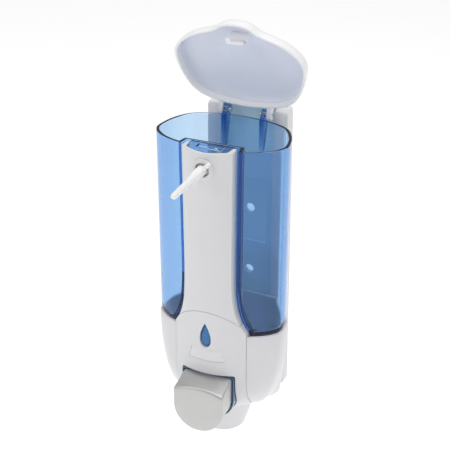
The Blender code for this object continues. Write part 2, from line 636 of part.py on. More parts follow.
def pump():
    axis, port = (0, 0, PUMP_Z), (0, PORT_Y, 0)
    barrel = [(0, BARREL_BACK), (BARREL_RADIUS, BARREL_BACK), (BARREL_RADIUS, BARREL_FRONT),
              (BORE_RADIUS, BARREL_FRONT), (BORE_RADIUS, BARREL_BACK - 2), (0, BARREL_BACK - 2)]
    body = add_object("pump_body", turned(barrel, axis, "Y", 32), NATURAL)
    inlet = [(0, -74.6), (6.2, -74.6), (7.0, -72.0), (7.0, -50.0), (5.0, -50.0), (5.0, -64.2), (0, -64.2)]
    outlet = [(0, -89.1), (5.0, -89.1), (5.0, -98.0), (3.2, -98.0), (3.2, -91.0), (0, -91.0)]
    unite(body, turned(inlet, port, segments=26), turned(outlet, port, segments=22),
          box((-17, -45.1, -86), (17, -43.3, -78)))
    carve(body, rod(PORT_RADIUS, -93, -87.2, port, segments=12), rod(PORT_RADIUS, -78, -62, port, segments=12),
          box((-4, PORT_Y - 0.8, -66), (4, PORT_Y + 0.8, -63.5)))
    carve(body, *(rod(1.7, -50, -40, (side * PUMP_SCREW_X, 0, PUMP_Z), "Y", 16) for side in (-1, 1)))
    cap = [(3.7, -72.4), (9.9, -72.4), (9.9, -65.0), (8.85, -65.0), (8.85, -70.4), (3.7, -70.4)]
    add_object("pump_end_cap", turned(cap, axis, "Y", 32, ring=True), NATURAL)
    plunger = [(0, -91.6), (7.0, -91.6), (7.0, -90.0), (3.2, -88.5), (3.2, -67.0), (6.4, -67.0), (6.4, -65.0),
               (2.5, -65.0), (2.5, -60.4), (0, -60.4)]
    add_object("piston_rod", turned(plunger, axis, "Y", 24), NATURAL, (0, -66, PUMP_Z))
    cup = [(2.8, -64.6), (6.0, -64.6), (6.5, -61.6), (5.6, -61.6), (5.1, -63.2), (2.8, -63.2)]
    add_object("piston_seal", turned(cup, axis, "Y", 24, ring=True), RUBBER, (0, -63, PUMP_Z))
    add_object("return_spring", coil(4.0, 0.45, -62.9, -45.6, 7, axis, "Y"), STEEL)
    add_object("inlet_gasket", tube(4.75, 7.4, -49.6, -48.0, port), RUBBER)
    add_object("inlet_valve_seat", tube(1.9, 4.65, -57.9, -56.2, port, segments=20), NATURAL)
    for name, radius, z in (("inlet_ball", 2.4, INLET_BALL_Z), ("outlet_ball", 2.2, OUTLET_BALL_Z)):
        add_object(name, ball(radius, (0, PORT_Y, z)), STEEL, (0, PORT_Y, z))
    add_object("outlet_spring", coil(1.9, 0.32, -103.0, -95.0, 6, port), STEEL)
    nozzle = [(1.6, -112.4), (3.4, -112.4), (4.2, -106.0), (6.9, -103.0), (6.9, -95.0), (5.35, -95.0),
              (5.35, -98.8), (2.8, -98.8), (2.8, -103.4), (1.6, -103.4)]
    add_object("nozzle_body", turned(nozzle, port, segments=24, ring=True), NATURAL)
    tip = [(1.5, -115.2), (3.6, -115.2), (4.6, -113.8), (4.6, -110.0), (3.95, -110.0), (3.75, -112.75),
           (1.5, -112.75)]
    add_object("nozzle_tip", turned(tip, port, segments=24, ring=True), SILICONE)


# ---------------------------------------------------------------- housing and plate


def housing_loop(z, smaller=0.0):
    """The housing's outline at height z: the sides turn in and the front turns under."""
    turn = math.sqrt(1 - min(max((HOUSING_TURN_Z - z) / HOUSING_TURN_HEIGHT, 0), 0.99) ** 2)
    half = []
    for x, y in HOUSING_HALF_PLAN:
        if x > HOUSING_CORE_X:
            at_back = min(max((y - HOUSING_BACK_Y[0]) / (HOUSING_BACK_Y[1] - HOUSING_BACK_Y[0]), 0), 1)
            x = HOUSING_CORE_X + (x - HOUSING_CORE_X) * (turn + (1 - turn) * at_back)
        if y < FRONT_TURN_Y:
            y = FRONT_TURN_Y + (y - FRONT_TURN_Y) * front_turn(z)
        half.append(Vector((x, y)))
    side_points = half[1:-1]
    middle = resample(smooth_curve(side_points, 5, side_points[0], side_points[-1]), 22)
    loop = mirrored_loop([half[0]] + middle + [half[-1]])
    return inset(loop, smaller) if smaller else loop


def base_housing():
    levels = [-105.0, -103.6, -100.0, -95.0, -88.0, -80.0, -70.0, -55.0, -42.0, HOUSING_TOP]

    def section(z, smaller):
        share = min(max((-50 - z) / (-50 - BOTTOM_Z), 0), 1)
        lift = BOTTOM_SLOPE * share
        shape_z = z + lift * 58  # the height at the front corners, where the turn is seen
        return at_height(housing_loop(max(shape_z, -93.4), smaller), z, slope=lift)

    outer = [section(z, 0.7 if z < -104 else 0.0) for z in levels]
    inner = [section(z, SHELL) for z in levels[:2:-1]] + [section(-102.9, SHELL + 0.6)]
    body = add_object("base_housing", loft(outer + inner), WHITE)
    carve(body, box((-25.6, -80, -101), (25.6, -62.0, -30)))
    (top_radius, top_z), (end_radius, end_z) = SPOUT_TOP, SPOUT_END
    grow = GAP + 0.1
    taper = (top_radius - end_radius) / (top_z - end_z)
    high = 12.0
    hole = [(0, top_z + high), (top_radius + taper * high + grow, top_z + high), (end_radius + grow, end_z),
            (0, end_z)]
    carve(body, turned(hole, (0, SPOUT_Y, 0), segments=40))
    carve(body, box((-25.75, -80, -101), (25.75, -55.5, -84)), box((-23.9, -80, -101), (23.9, -50.0, -86)))
    for x in (-PUMP_SCREW_X, PUMP_SCREW_X):
        unite(body, rod(3.4, -42.9, -11.5, (x, 0, PUMP_Z), "Y", 20))
        carve(body, rod(1.6, -44, -30, (x, 0, PUMP_Z), "Y", 16))
    for x in (-HOUSING_SCREW_X, HOUSING_SCREW_X):
        carve(body, rod(1.9, -14, -9, (x, 0, HOUSING_SCREW_Z), "Y", 16))


def back_plate():
    """A web on the wall with two rails, whose tops slope down to the front."""
    height, width = PLATE_HALF_HEIGHT, PLATE_HALF_WIDTH
    plate = add_object("back_plate", box((-width, WEB_Y, -height), (width, 0, height)), PLATE_WHITE)
    side_view = [(-1.0, -height), (RAIL_Y, -height), (RAIL_Y, 100.8), (-9.2, 102.2), (-2.2, height),
                 (-1.0, height)]
    for side in (-1, 1):
        x0, x1 = sorted((side * RAIL_INNER_X, side * width))
        unite(plate, along_x(side_view, x0, x1))
        arc_x, arc_z = width - PLATE_CORNER, height - PLATE_CORNER
        corner = [(side * (width + 1), height + 1), (side * arc_x, height + 1)]
        corner += [(side * (arc_x + PLATE_CORNER * math.sin(a)), arc_z + PLATE_CORNER * math.cos(a))
                   for a in (math.radians(15 * i) for i in range(7))] + [(side * (width + 1), arc_z)]
        carve(plate, along_y(corner, -12, 1))
        carve(plate, rod(1.8, -11, -2.5, (side * HOUSING_SCREW_X, 0, HOUSING_SCREW_Z), "Y", 16))
    carve(plate, box(POCKET_LOW, POCKET_HIGH))
    for z in SCREW_HOLE_Z:
        carve(plate, rod(SCREW_HOLE_RADIUS, -6, 1, (0, 0, z), "Y", 24))


def fixings():
    for side, name in ((-1, "left"), (1, "right")):
        hinge_pin(f"lid_hinge_pin_{name}", side)
        screw(f"pump_screw_{name}", (side * PUMP_SCREW_X, 0, PUMP_Z), -45.5, -34.0, 2.9, 1.25)
        screw(f"housing_screw_{name}", (side * HOUSING_SCREW_X, 0, HOUSING_SCREW_Z), -12.7, -3.6, 2.9, 1.45)


def main():
    clear_scene()
    back_plate()
    base_housing()
    tank()
    front_strip()
    front_cover()
    name_plate()
    level_window()
    lid()
    lock()
    key()
    push_button()
    button_bezel()
    pump()
    fixings()


main()
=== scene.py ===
"""Looks of a wall mounted soap dispenser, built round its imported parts.

Lengths are in millimetres while a shape is made, and Workpiece.part turns them into metres. +Z is up, the
front faces -Y and the wall is the plane y = 0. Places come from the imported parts' boxes.
"""

import logging
import math
from collections.abc import Callable, Iterable, Sequence
from dataclasses import dataclass, field
from enum import Enum

import bmesh
import bpy
from mathutils import Matrix, Vector

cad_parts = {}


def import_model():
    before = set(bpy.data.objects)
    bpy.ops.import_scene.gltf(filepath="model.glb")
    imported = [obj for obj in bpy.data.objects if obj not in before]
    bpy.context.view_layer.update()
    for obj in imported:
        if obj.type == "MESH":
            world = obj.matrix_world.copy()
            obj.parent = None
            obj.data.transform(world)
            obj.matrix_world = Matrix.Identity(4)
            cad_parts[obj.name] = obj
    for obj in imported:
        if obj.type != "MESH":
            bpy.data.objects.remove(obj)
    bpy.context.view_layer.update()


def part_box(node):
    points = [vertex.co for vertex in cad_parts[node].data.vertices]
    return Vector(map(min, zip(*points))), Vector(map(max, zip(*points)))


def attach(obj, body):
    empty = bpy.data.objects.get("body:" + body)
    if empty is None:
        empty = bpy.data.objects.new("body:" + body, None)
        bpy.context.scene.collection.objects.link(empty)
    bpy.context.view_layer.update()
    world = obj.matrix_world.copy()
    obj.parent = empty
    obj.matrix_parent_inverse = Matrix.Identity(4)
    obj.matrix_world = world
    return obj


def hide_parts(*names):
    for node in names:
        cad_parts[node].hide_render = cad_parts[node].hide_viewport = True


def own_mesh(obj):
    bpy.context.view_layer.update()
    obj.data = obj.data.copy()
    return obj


MM = 0.001
GAP = 0.35  # between two mouldings that meet
MERGE = 1e-4  # corners nearer than this are one
SOFTEN_ANGLE = 40.0  # degrees; edges sharper than this are rounded
HINGE_HOLE = 1.45
HOUSING_SCREW_X, HOUSING_SCREW_Z = 22.9, -60.0

log = logging.getLogger("dispenser")

Pair = tuple[float, float]
Triple = tuple[float, float, float]
Rgba = tuple[float, float, float, float]
Loop = list[Vector]
Shape = bmesh.types.BMesh


# --- boxes and lines


@dataclass(frozen=True)
class Box:
    """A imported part's box in millimetres."""

    low: Vector
    high: Vector

    @classmethod
    def of(cls, node: str) -> "Box":
        """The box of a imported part.

        Args:
            node: the part's name.

        Returns:
            Its box, in millimetres.
        """
        low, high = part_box(node)
        return cls(low / MM, high / MM)

    @property
    def centre(self) -> Vector:
        """The box's middle."""
        return (self.low + self.high) / 2


def hinge_pin() -> Vector:
    """The middle of the lid's left hinge pin."""
    return Box.of("lid_hinge_pin_left").centre


def both_sides(inner: float, outer: float) -> list[Pair]:
    """The (low x, high x) of a left and a right piece that reach from inner to outer."""
    return [(-outer, -inner), (inner, outer)]


def about(centre: Vector, angle: float, axis: str) -> Matrix:
    """A turn about an axis through centre, by an angle in radians."""
    return Matrix.Translation(centre) @ Matrix.Rotation(angle, 4, axis) @ Matrix.Translation(-centre)


def smooth_curve(points: Sequence[Sequence[float]], pieces: int, before: Sequence[float],
                 after: Sequence[float]) -> Loop:
    """A smooth curve through points.

    Args:
        points: what the curve passes through, in the plane.
        pieces: how many steps it takes between two of them.
        before: a point that leads into the curve.
        after: a point that leads out of it.

    Returns:
        The curve's points, from the first to the last.
    """
    guides = [before] + list(points) + [after]
    curve = []
    for i in range(1, len(guides) - 2):
        a, b, c, d = (Vector(guides[i + k]) for k in (-1, 0, 1, 2))
        for k in range(pieces):
            t = k / pieces
            curve.append(0.5 * (2 * b + (c - a) * t + (2 * a - 5 * b + 4 * c - d) * t ** 2
                                + (3 * b - a - 3 * c + d) * t ** 3))
    curve.append(Vector(points[-1]))
    return curve


def smooth_half(points: Sequence[Sequence[float]], pieces: int) -> Loop:
    """A smooth curve through a half outline that starts and ends on x = 0.

    Args:
        points: the half outline.
        pieces: how many steps the curve takes between two of them.

    Returns:
        The curve's points.
    """
    return smooth_curve(points, pieces, (-points[1][0], points[1][1]), (-points[-2][0], points[-2][1]))


def resample(points: Sequence[Vector], count: int) -> Loop:
    """Points at equal steps along a line of points.

    Args:
        points: the line.
        count: how many points to give back.

    Returns:
        The new points, with the line's ends kept.
    """
    lengths = [0.0]
    for a, b in zip(points, points[1:]):
        lengths.append(lengths[-1] + (b - a).length)
    out, i = [], 0
    for k in range(count):
        want = lengths[-1] * k / (count - 1)
        while i < len(points) - 2 and lengths[i + 1] < want:
            i += 1
        t = (want - lengths[i]) / (lengths[i + 1] - lengths[i])
        out.append(points[i].lerp(points[i + 1], t))
    return out


def mirrored(half: Sequence[Vector]) -> Loop:
    """The whole outline of a half outline whose ends lie on x = 0."""
    return [Vector((p.x, p.y)) for p in half] + [Vector((-p.x, p.y)) for p in half[-2:0:-1]]


def inset(points: Sequence[Vector], distance: float) -> Loop:
    """An outline moved inwards.

    Args:
        points: the outline.
        distance: how far it moves; below 0 it moves outwards.

    Returns:
        The moved outline, with mitred corners.
    """
    area = sum(a.x * b.y - b.x * a.y for a, b in zip(points, list(points[1:]) + [points[0]]))
    turn = 1 if area > 0 else -1
    moved = []
    for i, point in enumerate(points):
        before = (point - points[i - 1]).normalized()
        after = (points[(i + 1) % len(points)] - point).normalized()
        n1, n2 = Vector((-before.y, before.x)) * turn, Vector((-after.y, after.x)) * turn
        moved.append(point + (n1 + n2) * distance / (1 + n1.dot(n2)))
    return moved


def arc(centre: Pair, radius: float, start: float, end: float, steps: int) -> list[Pair]:
    """Points on a circle's arc.

    Args:
        centre: the circle's centre, in the plane.
        radius: its radius.
        start: the first point's angle, in degrees.
        end: the last point's angle, in degrees.
        steps: how many stretches the arc is cut into.

    Returns:
        The points, from start to end.
    """
    angles = [math.radians(start + (end - start) * i / steps) for i in range(steps + 1)]
    return [(centre[0] + radius * math.cos(a), centre[1] + radius * math.sin(a)) for a in angles]


# --- solids


def lofted(sections: Sequence[Sequence[Vector]], ends: bool = True) -> Shape:
    """A skin drawn from section to section.

    Args:
        sections: closed outlines of equal length, in order.
        ends: True to cap the first and the last, False where the last comes back to the first, as in a ring.

    Returns:
        The closed shape.
    """
    bm = bmesh.new()
    places = {bm.verts.new(point): i for i, point in enumerate(sections[0])}
    verts = list(places)
    first = edges = [bm.edges.new(pair) for pair in zip(verts, verts[1:] + verts[:1])]
    for section in sections[1:]:
        run = bmesh.ops.extrude_edge_only(bm, edges=edges)["geom"]
        edges = [e for e in run if isinstance(e, bmesh.types.BMEdge) and e.is_boundary]
        moved = {}
        for vert in (v for v in run if isinstance(v, bmesh.types.BMVert)):
            moved[vert] = next(places[e.other_vert(vert)] for e in vert.link_edges if e.other_vert(vert) in places)
        for vert, i in moved.items():
            vert.co = section[i]
        places = moved
    if ends:
        for ring in (first, edges):
            bmesh.ops.holes_fill(bm, edges=ring)
    return settled(bm)


def settled(bm: Shape) -> Shape:
    """Merges a shape's doubles and turns its faces outwards."""
    bmesh.ops.remove_doubles(bm, verts=bm.verts, dist=MERGE)
    bmesh.ops.recalc_face_normals(bm, faces=bm.faces)
    return bm


def brick(low: Sequence[float], high: Sequence[float], rounding: float = 0.0, segments: int = 3) -> Shape:
    """A block between two corners.

    Args:
        low: its lowest corner.
        high: its highest corner.
        rounding: the radius along its edges.
        segments: how many facets round them.

    Returns:
        The block.
    """
    bm = bmesh.new()
    bmesh.ops.create_cube(bm, size=1)
    size = Vector(high) - Vector(low)
    bmesh.ops.scale(bm, verts=bm.verts, vec=size)
    bmesh.ops.translate(bm, verts=bm.verts, vec=Vector(low) + size / 2)
    if rounding:
        bmesh.ops.bevel(bm, geom=bm.edges, offset=rounding, offset_type="OFFSET", affect="EDGES",
                        segments=segments, profile=0.5, material=-1)
    return bm


class Axis(Enum):
    """The direction that a turned or extruded shape runs along."""

    X = "X"
    Y = "Y"
    Z = "Z"

    @property
    def turn(self) -> Matrix:
        """What turns a shape made along Z to run along this axis."""
        return {Axis.X: Matrix.Rotation(math.pi / 2, 4, "Y"), Axis.Y: Matrix.Rotation(-math.pi / 2, 4, "X"),
                Axis.Z: Matrix()}[self]

    def point(self, a: float, b: float, along: float) -> Vector:
        """A point of an outline: (y, z) across X, (x, z) across Y and (x, y) across Z."""
        return {Axis.X: Vector((along, a, b)), Axis.Y: Vector((a, along, b)), Axis.Z: Vector((a, b, along))}[self]


def extruded(outline: Iterable[Sequence[float]], axis: Axis, start: float, end: float) -> Shape:
    """A prism.

    Args:
        outline: its outline across the axis.
        axis: the direction that it runs along.
        start: where it starts on the axis.
        end: where it ends.

    Returns:
        The prism.
    """
    bm = bmesh.new()
    face = bm.faces.new([bm.verts.new(axis.point(p[0], p[1], start)) for p in outline])
    run = bmesh.ops.extrude_face_region(bm, geom=[face], use_keep_orig=True)
    moved = [v for v in run["geom"] if isinstance(v, bmesh.types.BMVert)]
    bmesh.ops.translate(bm, verts=moved, vec=axis.point(0, 0, end - start))
    return settled(bm)


def turned(profile: Sequence[Sequence[float]], centre: Sequence[float], axis: Axis = Axis.Z, steps: int = 96,
           ring: bool = False) -> Shape:
    """A turned shape.

    Args:
        profile: (radius, distance along the axis) of each corner.
        centre: a point on the axis; the distances are counted from it.
        axis: the direction of the axis.
        steps: how many facets go round.
        ring: True where the profile closes on itself away from the axis.

    Returns:
        The turned shape, with its poles closed.
    """
    bm = bmesh.new()
    verts = [bm.verts.new((radius, 0, along)) for radius, along in profile]
    edges = [bm.edges.new(pair) for pair in zip(verts, verts[1:] + (verts[:1] if ring else []))]
    bmesh.ops.spin(bm, geom=verts + edges, cent=(0, 0, 0), axis=(0, 0, 1), angle=math.tau, steps=steps,
                   use_merge=True)
    bmesh.ops.transform(bm, matrix=Matrix.Translation(centre) @ axis.turn, verts=bm.verts)
    return settled(bm)


def rod(radius: float, start: float, end: float, centre: Sequence[float], axis: Axis = Axis.Z,
        steps: int = 48) -> Shape:
    """A plain cylinder from start to end along an axis through centre."""
    return turned([(0, start), (radius, start), (radius, end), (0, end)], centre, axis, steps)


def hinge_hole(low_x: float, high_x: float) -> Shape:
    """What the hinge pin's hole cuts from a lug or an ear between two x."""
    pin = hinge_pin()
    return rod(HINGE_HOLE, low_x - 1, high_x + 1, (0, pin.y, pin.z), Axis.X)


def coil(radius: float, wire: float, start: float, end: float, turns: int, centre: Sequence[float],
         axis: Axis) -> Shape:
    """A compression spring.

    Args:
        radius: from the axis to the middle of the wire.
        wire: the wire's own radius.
        start: where the spring starts along the axis.
        end: where it ends.
        turns: how many turns it has between its flat end turns.
        centre: a point on its axis.
        axis: the direction of its axis.

    Returns:
        The wire, with closed ends.
    """
    bm = bmesh.new()
    loop = bmesh.ops.create_circle(bm, segments=10, radius=wire, cap_ends=False)["verts"]
    upright = Matrix.Rotation(math.pi / 2, 4, "X")
    bmesh.ops.transform(bm, matrix=Matrix.Translation((radius, 0, start + wire)) @ upright, verts=loop)
    first = list({e for v in loop for e in v.link_edges})
    steps, flat = 40, 2.1 * wire  # facets in a turn, and what an end turn rises
    rise = end - start - 2 * wire - 2 * flat
    last = first
    for count, height in ((1, flat), (turns, rise), (1, flat)):
        geom = last + list({v for e in last for v in e.verts})
        run = bmesh.ops.spin(bm, geom=geom, cent=(0, 0, 0), axis=(0, 0, 1), dvec=(0, 0, height / (steps * count)),
                             angle=math.tau * count, steps=steps * count, use_merge=False)
        last = [e for e in run["geom_last"] if isinstance(e, bmesh.types.BMEdge)]
    for ends in (first, last):
        bmesh.ops.holes_fill(bm, edges=ends)
    bmesh.ops.transform(bm, matrix=Matrix.Translation(centre) @ axis.turn, verts=bm.verts)
    return settled(bm)


# --- shader maths


class Value:
    """A shader's number, which takes part in sums as a plain number does."""

    def __init__(self, bench: "Bench", socket: bpy.types.NodeSocket) -> None:
        """Wraps a socket.

        Args:
            bench: the material's bench, which adds the nodes.
            socket: the socket that gives the number.
        """
        self.bench, self.socket = bench, socket

    def _sum(self, operation: str, *values: "Value | float") -> "Value":
        """One Math node on some values."""
        return self.bench.node("ShaderNodeMath", {"operation": operation}, dict(enumerate(values)))

    def __add__(self, other: "Value | float") -> "Value":
        """self + other."""
        return self._sum("ADD", self, other)

    __radd__ = __add__

    def __sub__(self, other: "Value | float") -> "Value":
        """self - other."""
        return self._sum("SUBTRACT", self, other)

    def __rsub__(self, other: "Value | float") -> "Value":
        """other - self."""
        return self._sum("SUBTRACT", other, self)

    def __mul__(self, other: "Value | float") -> "Value":
        """self * other."""
        return self._sum("MULTIPLY", self, other)

    __rmul__ = __mul__

    def __pow__(self, other: "Value | float") -> "Value":
        """self ** other."""
        return self._sum("POWER", self, other)

    def clamped(self, low: float, high: float) -> "Value":
        """The value kept between two limits."""
        return self._sum("MINIMUM", self._sum("MAXIMUM", self, low), high)


class Bench:
    """One material, with the nodes that its finish is made of."""

    def __init__(self, name: str) -> None:
        """Starts a material with a Principled node.

        Args:
            name: the material's name.
        """
        self.material = bpy.data.materials.new(name)
        self.material.use_nodes = True
        self.tree = self.material.node_tree
        self.shader = self.tree.nodes["Principled BSDF"]
        self.output = self.tree.nodes["Material Output"]

    def node(self, kind: str, settings: dict[str, object], inputs: dict[int | str, object],
             output: int | str = 0) -> Value:
        """Adds a node.

        Args:
            kind: the node's type.
            settings: its own settings, which are set first.
            inputs: the values or links of its sockets.
            output: the socket to give back.

        Returns:
            That socket.
        """
        made = self.tree.nodes.new(kind)
        for key, value in settings.items():
            setattr(made, key, value)
        for key, value in inputs.items():
            if isinstance(value, Value):
                self.tree.links.new(value.socket, made.inputs[key])
            else:
                made.inputs[key].default_value = value
        return Value(self, made.outputs[output])

    def feed(self, socket: str, value: Value | object) -> None:
        """Sets or links one socket of the Principled node."""
        if isinstance(value, Value):
            self.tree.links.new(value.socket, self.shader.inputs[socket])
        else:
            self.shader.inputs[socket].default_value = value

    def place(self, stretch: Triple = (1, 1, 1)) -> Value:
        """Object coordinates in millimetres.

        Args:
            stretch: what each axis is scaled by, below 1 to draw a pattern out along it.

        Returns:
            The vector to give a texture.
        """
        coordinates = self.node("ShaderNodeTexCoord", {}, {}, "Object")
        scale = tuple(s / MM for s in stretch)
        return self.node("ShaderNodeMapping", {}, {"Vector": coordinates, "Scale": scale}, "Vector")

    def noise(self, size: float, detail: float = 2.0, stretch: Triple = (1, 1, 1),
              roughness: float = 0.5) -> Value:
        """Noise from 0 to 1 whose patches are about size millimetres across."""
        return self.node("ShaderNodeTexNoise", {}, {"Vector": self.place(stretch), "Scale": 1 / size,
                                                    "Detail": detail, "Roughness": roughness}, "Fac")

    def mix(self, amount: Value | float, a: Sequence[float] | Value, b: Sequence[float] | Value) -> Value:
        """A colour between a and b."""
        return self.node("ShaderNodeMix", {"data_type": "RGBA"}, {0: amount, 6: a, 7: b}, 2)

    def tones(self, amount: Value, colour: Triple, first: float, last: float) -> None:
        """Feeds Base Color with a colour that wanders between two shares of itself."""
        self.feed("Base Color", self.mix(amount, shaded(colour, first), shaded(colour, last)))

    def bump(self, height: Value, depth: float, below: Value | None = None) -> Value:
        """A Normal from a height.

        Args:
            height: the relief, from 0 to 1.
            depth: how deep it is, in millimetres.
            below: another relief's Normal under it.

        Returns:
            The Normal.
        """
        inputs: dict[int | str, object] = {"Height": height, "Distance": depth * MM, "Strength": 1.0}
        if below is not None:
            inputs["Normal"] = below
        return self.node("ShaderNodeBump", {}, inputs, "Normal")


def rgba(colour: Sequence[float]) -> Rgba:
    """A colour with full alpha."""
    return (colour[0], colour[1], colour[2], 1.0)


def shaded(colour: Sequence[float], share: float) -> Rgba:
    """A colour made darker, or lighter with a share above 1."""
    return rgba([min(c * share, 1.0) for c in colour])


# --- finishes


@dataclass(frozen=True)
class Moulded:
    """Injection moulded plastic: faint flow marks, a fine skin and a few handling smudges."""

    name: str
    colour: Triple
    roughness: float = 0.3
    grain: float = 0.35  # mm
    grain_depth: float = 0.004  # mm
    mottle: float = 0.035  # how far the colour wanders
    translucent: float = 0.0
    coat: float = 0.0

    def material(self) -> bpy.types.Material:
        """The finished material."""
        bench = Bench(self.name)
        flow = bench.noise(28.0, 3.0, (1, 1, 0.35))
        cloud = bench.noise(9.0, 2.0)
        bench.tones((flow * 0.6 + cloud * 0.4).clamped(0, 1), self.colour, 1 + self.mottle, 1 - self.mottle)
        smudge = bench.noise(14.0, 4.0, (1, 0.6, 0.8), 0.6)
        hairline = bench.noise(0.6, 2.0, (0.05, 1, 1))
        bench.feed("Roughness", (self.roughness - 0.06 + smudge * 0.14 + (hairline ** 6) * 0.25).clamped(0.05, 1))
        skin = bench.noise(self.grain, 3.0)
        sink = bench.noise(20.0, 1.0)
        bench.feed("Normal", bench.bump(skin, self.grain_depth, bench.bump(sink, 0.12)))
        bench.feed("IOR", 1.52)
        bench.feed("Coat Weight", self.coat)
        if self.translucent:
            bench.feed("Subsurface Weight", self.translucent)
            bench.feed("Subsurface Scale", 1.2 * MM)
            bench.feed("Subsurface Radius", (1.0, 1.0, 0.9))
        return bench.material


@dataclass(frozen=True)
class ClearTint:
    """Transparent tinted plastic, which is deeper in colour the further light goes through it."""

    name: str
    absorbed: Triple  # per metre
    roughness: float = 0.02
    ripple: float = 0.05  # mm
    ior: float = 1.46
    tint: Triple = (1.0, 1.0, 1.0)
    milk: float = 0.0  # the share of light that it scatters

    def material(self) -> bpy.types.Material:
        """The finished material."""
        bench = Bench(self.name)
        bench.feed("Base Color", rgba(self.tint))
        bench.feed("Transmission Weight", 1.0 - self.milk)
        bench.feed("IOR", self.ior)
        haze = bench.noise(7.0, 4.0, (1, 1, 0.4), 0.6)
        scuff = bench.noise(0.8, 2.0, (1, 1, 0.04))
        bench.feed("Roughness", (self.roughness + haze * 0.02 + (scuff ** 8) * 0.3).clamped(0, 0.3))
        bench.feed("Normal", bench.bump(bench.noise(16.0, 1.0, (1, 1, 0.3)), self.ripple))
        density = max(self.absorbed)
        volume = bench.tree.nodes.new("ShaderNodeVolumeAbsorption")
        volume.inputs["Color"].default_value = rgba([1 - a / density for a in self.absorbed])
        volume.inputs["Density"].default_value = density
        bench.tree.links.new(volume.outputs[0], bench.output.inputs["Volume"])
        return bench.material


@dataclass(frozen=True)
class SatinLacquer:
    """Silver lacquer on plastic: fine metal flake under a thin clear skin."""

    name: str
    colour: Triple
    roughness: float = 0.36
    metallic: float = 0.55
    flake: float = 0.09  # mm

    def material(self) -> bpy.types.Material:
        """The finished material."""
        bench = Bench(self.name)
        flake = bench.node("ShaderNodeTexVoronoi", {"feature": "F1"},
                           {"Vector": bench.place(), "Scale": 1 / self.flake, "Randomness": 1.0}, "Color")
        sparkle = bench.node("ShaderNodeSeparateColor", {}, {"Color": flake}, 0)
        cloud = bench.noise(8.0, 3.0)
        bench.tones((sparkle * 0.55 + cloud * 0.45).clamped(0, 1), self.colour, 0.93, 1.07)
        bench.feed("Metallic", self.metallic)
        cloudy = bench.noise(5.0, 4.0)
        bench.feed("Roughness", (self.roughness - 0.05 + sparkle * 0.08 + cloudy * 0.06).clamped(0.1, 1))
        bench.feed("Normal", bench.bump(bench.noise(0.16, 2.0), 0.0035, bench.bump(bench.noise(12.0, 1.0), 0.05)))
        bench.feed("Coat Weight", 0.25)
        bench.feed("Coat Roughness", 0.22)
        return bench.material


@dataclass(frozen=True)
class Drawn:
    """Drawn or turned steel: fine lines along or round the piece."""

    name: str
    colour: Triple
    roughness: float = 0.24
    stretch: Triple = (1, 0.05, 1)

    def material(self) -> bpy.types.Material:
        """The finished material."""
        bench = Bench(self.name)
        lines = bench.noise(0.12, 3.0, self.stretch)
        stain = bench.noise(2.5, 3.0)
        bench.tones(stain, self.colour, 1.06, 0.86)
        bench.feed("Metallic", 1.0)
        bench.feed("Roughness", (self.roughness - 0.06 + lines * 0.16).clamped(0.05, 1))
        bench.feed("Normal", bench.bump(lines, 0.004))
        return bench.material


@dataclass(frozen=True)
class Elastomer:
    """Rubber or silicone: matt, with a fine bloom and a soft skin."""

    name: str
    colour: Triple
    roughness: float = 0.62
    translucent: float = 0.0

    def material(self) -> bpy.types.Material:
        """The finished material."""
        bench = Bench(self.name)
        bloom = bench.noise(1.6, 4.0, roughness=0.65)
        bench.tones(bloom ** 2, self.colour, 0.85, 1.3)
        bench.feed("Roughness", (self.roughness - 0.08 + bloom * 0.2).clamped(0.1, 1))
        bench.feed("Normal", bench.bump(bench.noise(0.2, 2.0), 0.008))
        bench.feed("Subsurface Weight", self.translucent)
        bench.feed("Subsurface Scale", 1.0 * MM)
        return bench.material


class Finish(Enum):
    """The finishes of this dispenser, each made into a material once."""

    ABS = Moulded("white_abs_skin", (0.735, 0.735, 0.75), 0.30)
    LID = Moulded("white_lid_skin", (0.94, 0.94, 0.955), 0.27)
    # painted shade: the lid's hollow is darker and bluer, standing in for shade and for blue light from the tank
    LID_INSIDE = Moulded("lid_inside_painted_shade", (0.80, 0.83, 0.93), 0.24)
    PLATE = Moulded("white_plate_skin", (0.80, 0.80, 0.82), 0.42, 0.5, 0.012)
    # painted blue light: the web's pale blue colour stands in for blue light that comes through the tank onto the
    # white plate
    WEB = Moulded("plate_web_painted_blue_light", (0.72, 0.93, 0.99), 0.42, 0.5, 0.012)
    BADGE = Moulded("badge_skin", (0.765, 0.765, 0.79), 0.2, coat=0.3)
    KEY = Moulded("key_skin", (0.93, 0.92, 0.91), 0.34, 0.4, 0.008, translucent=0.15)
    NATURAL = Moulded("natural_skin", (0.74, 0.74, 0.70), 0.4, 0.4, 0.010, translucent=0.3)
    DEEP_BLUE = Moulded("deep_blue_skin", (0.012, 0.085, 0.21), 0.16, mottle=0.08, coat=0.4)
    TANK = ClearTint("tank_blue", (300.0, 165.0, 52.0), ior=1.38)
    LENS = ClearTint("lens_blue", (160.0, 70.0, 20.0), ripple=0.02, tint=(0.06, 0.27, 0.62), milk=0.6)
    SATIN = SatinLacquer("satin_silver_lacquer", (0.56, 0.555, 0.55))
    STEEL = Drawn("steel_drawn", (0.62, 0.62, 0.64))
    WIRE = Drawn("spring_wire", (0.58, 0.585, 0.6), 0.2, (1, 1, 0.1))
    RUBBER = Elastomer("rubber_black", (0.025, 0.025, 0.027))
    SILICONE = Elastomer("silicone_milky", (0.72, 0.73, 0.75), 0.38, 0.4)

    def material(self) -> bpy.types.Material:
        """The finish's material, made the first time that it is asked for."""
        return bpy.data.materials.get(self.value.name) or self.value.material()


# --- pieces


def placed(name: str, bm: Shape) -> bpy.types.Object:
    """An object of a shape, linked to the scene."""
    mesh = bpy.data.meshes.new(name)
    bm.to_mesh(mesh)
    bm.free()
    obj = bpy.data.objects.new(name, mesh)
    bpy.context.scene.collection.objects.link(obj)
    return obj


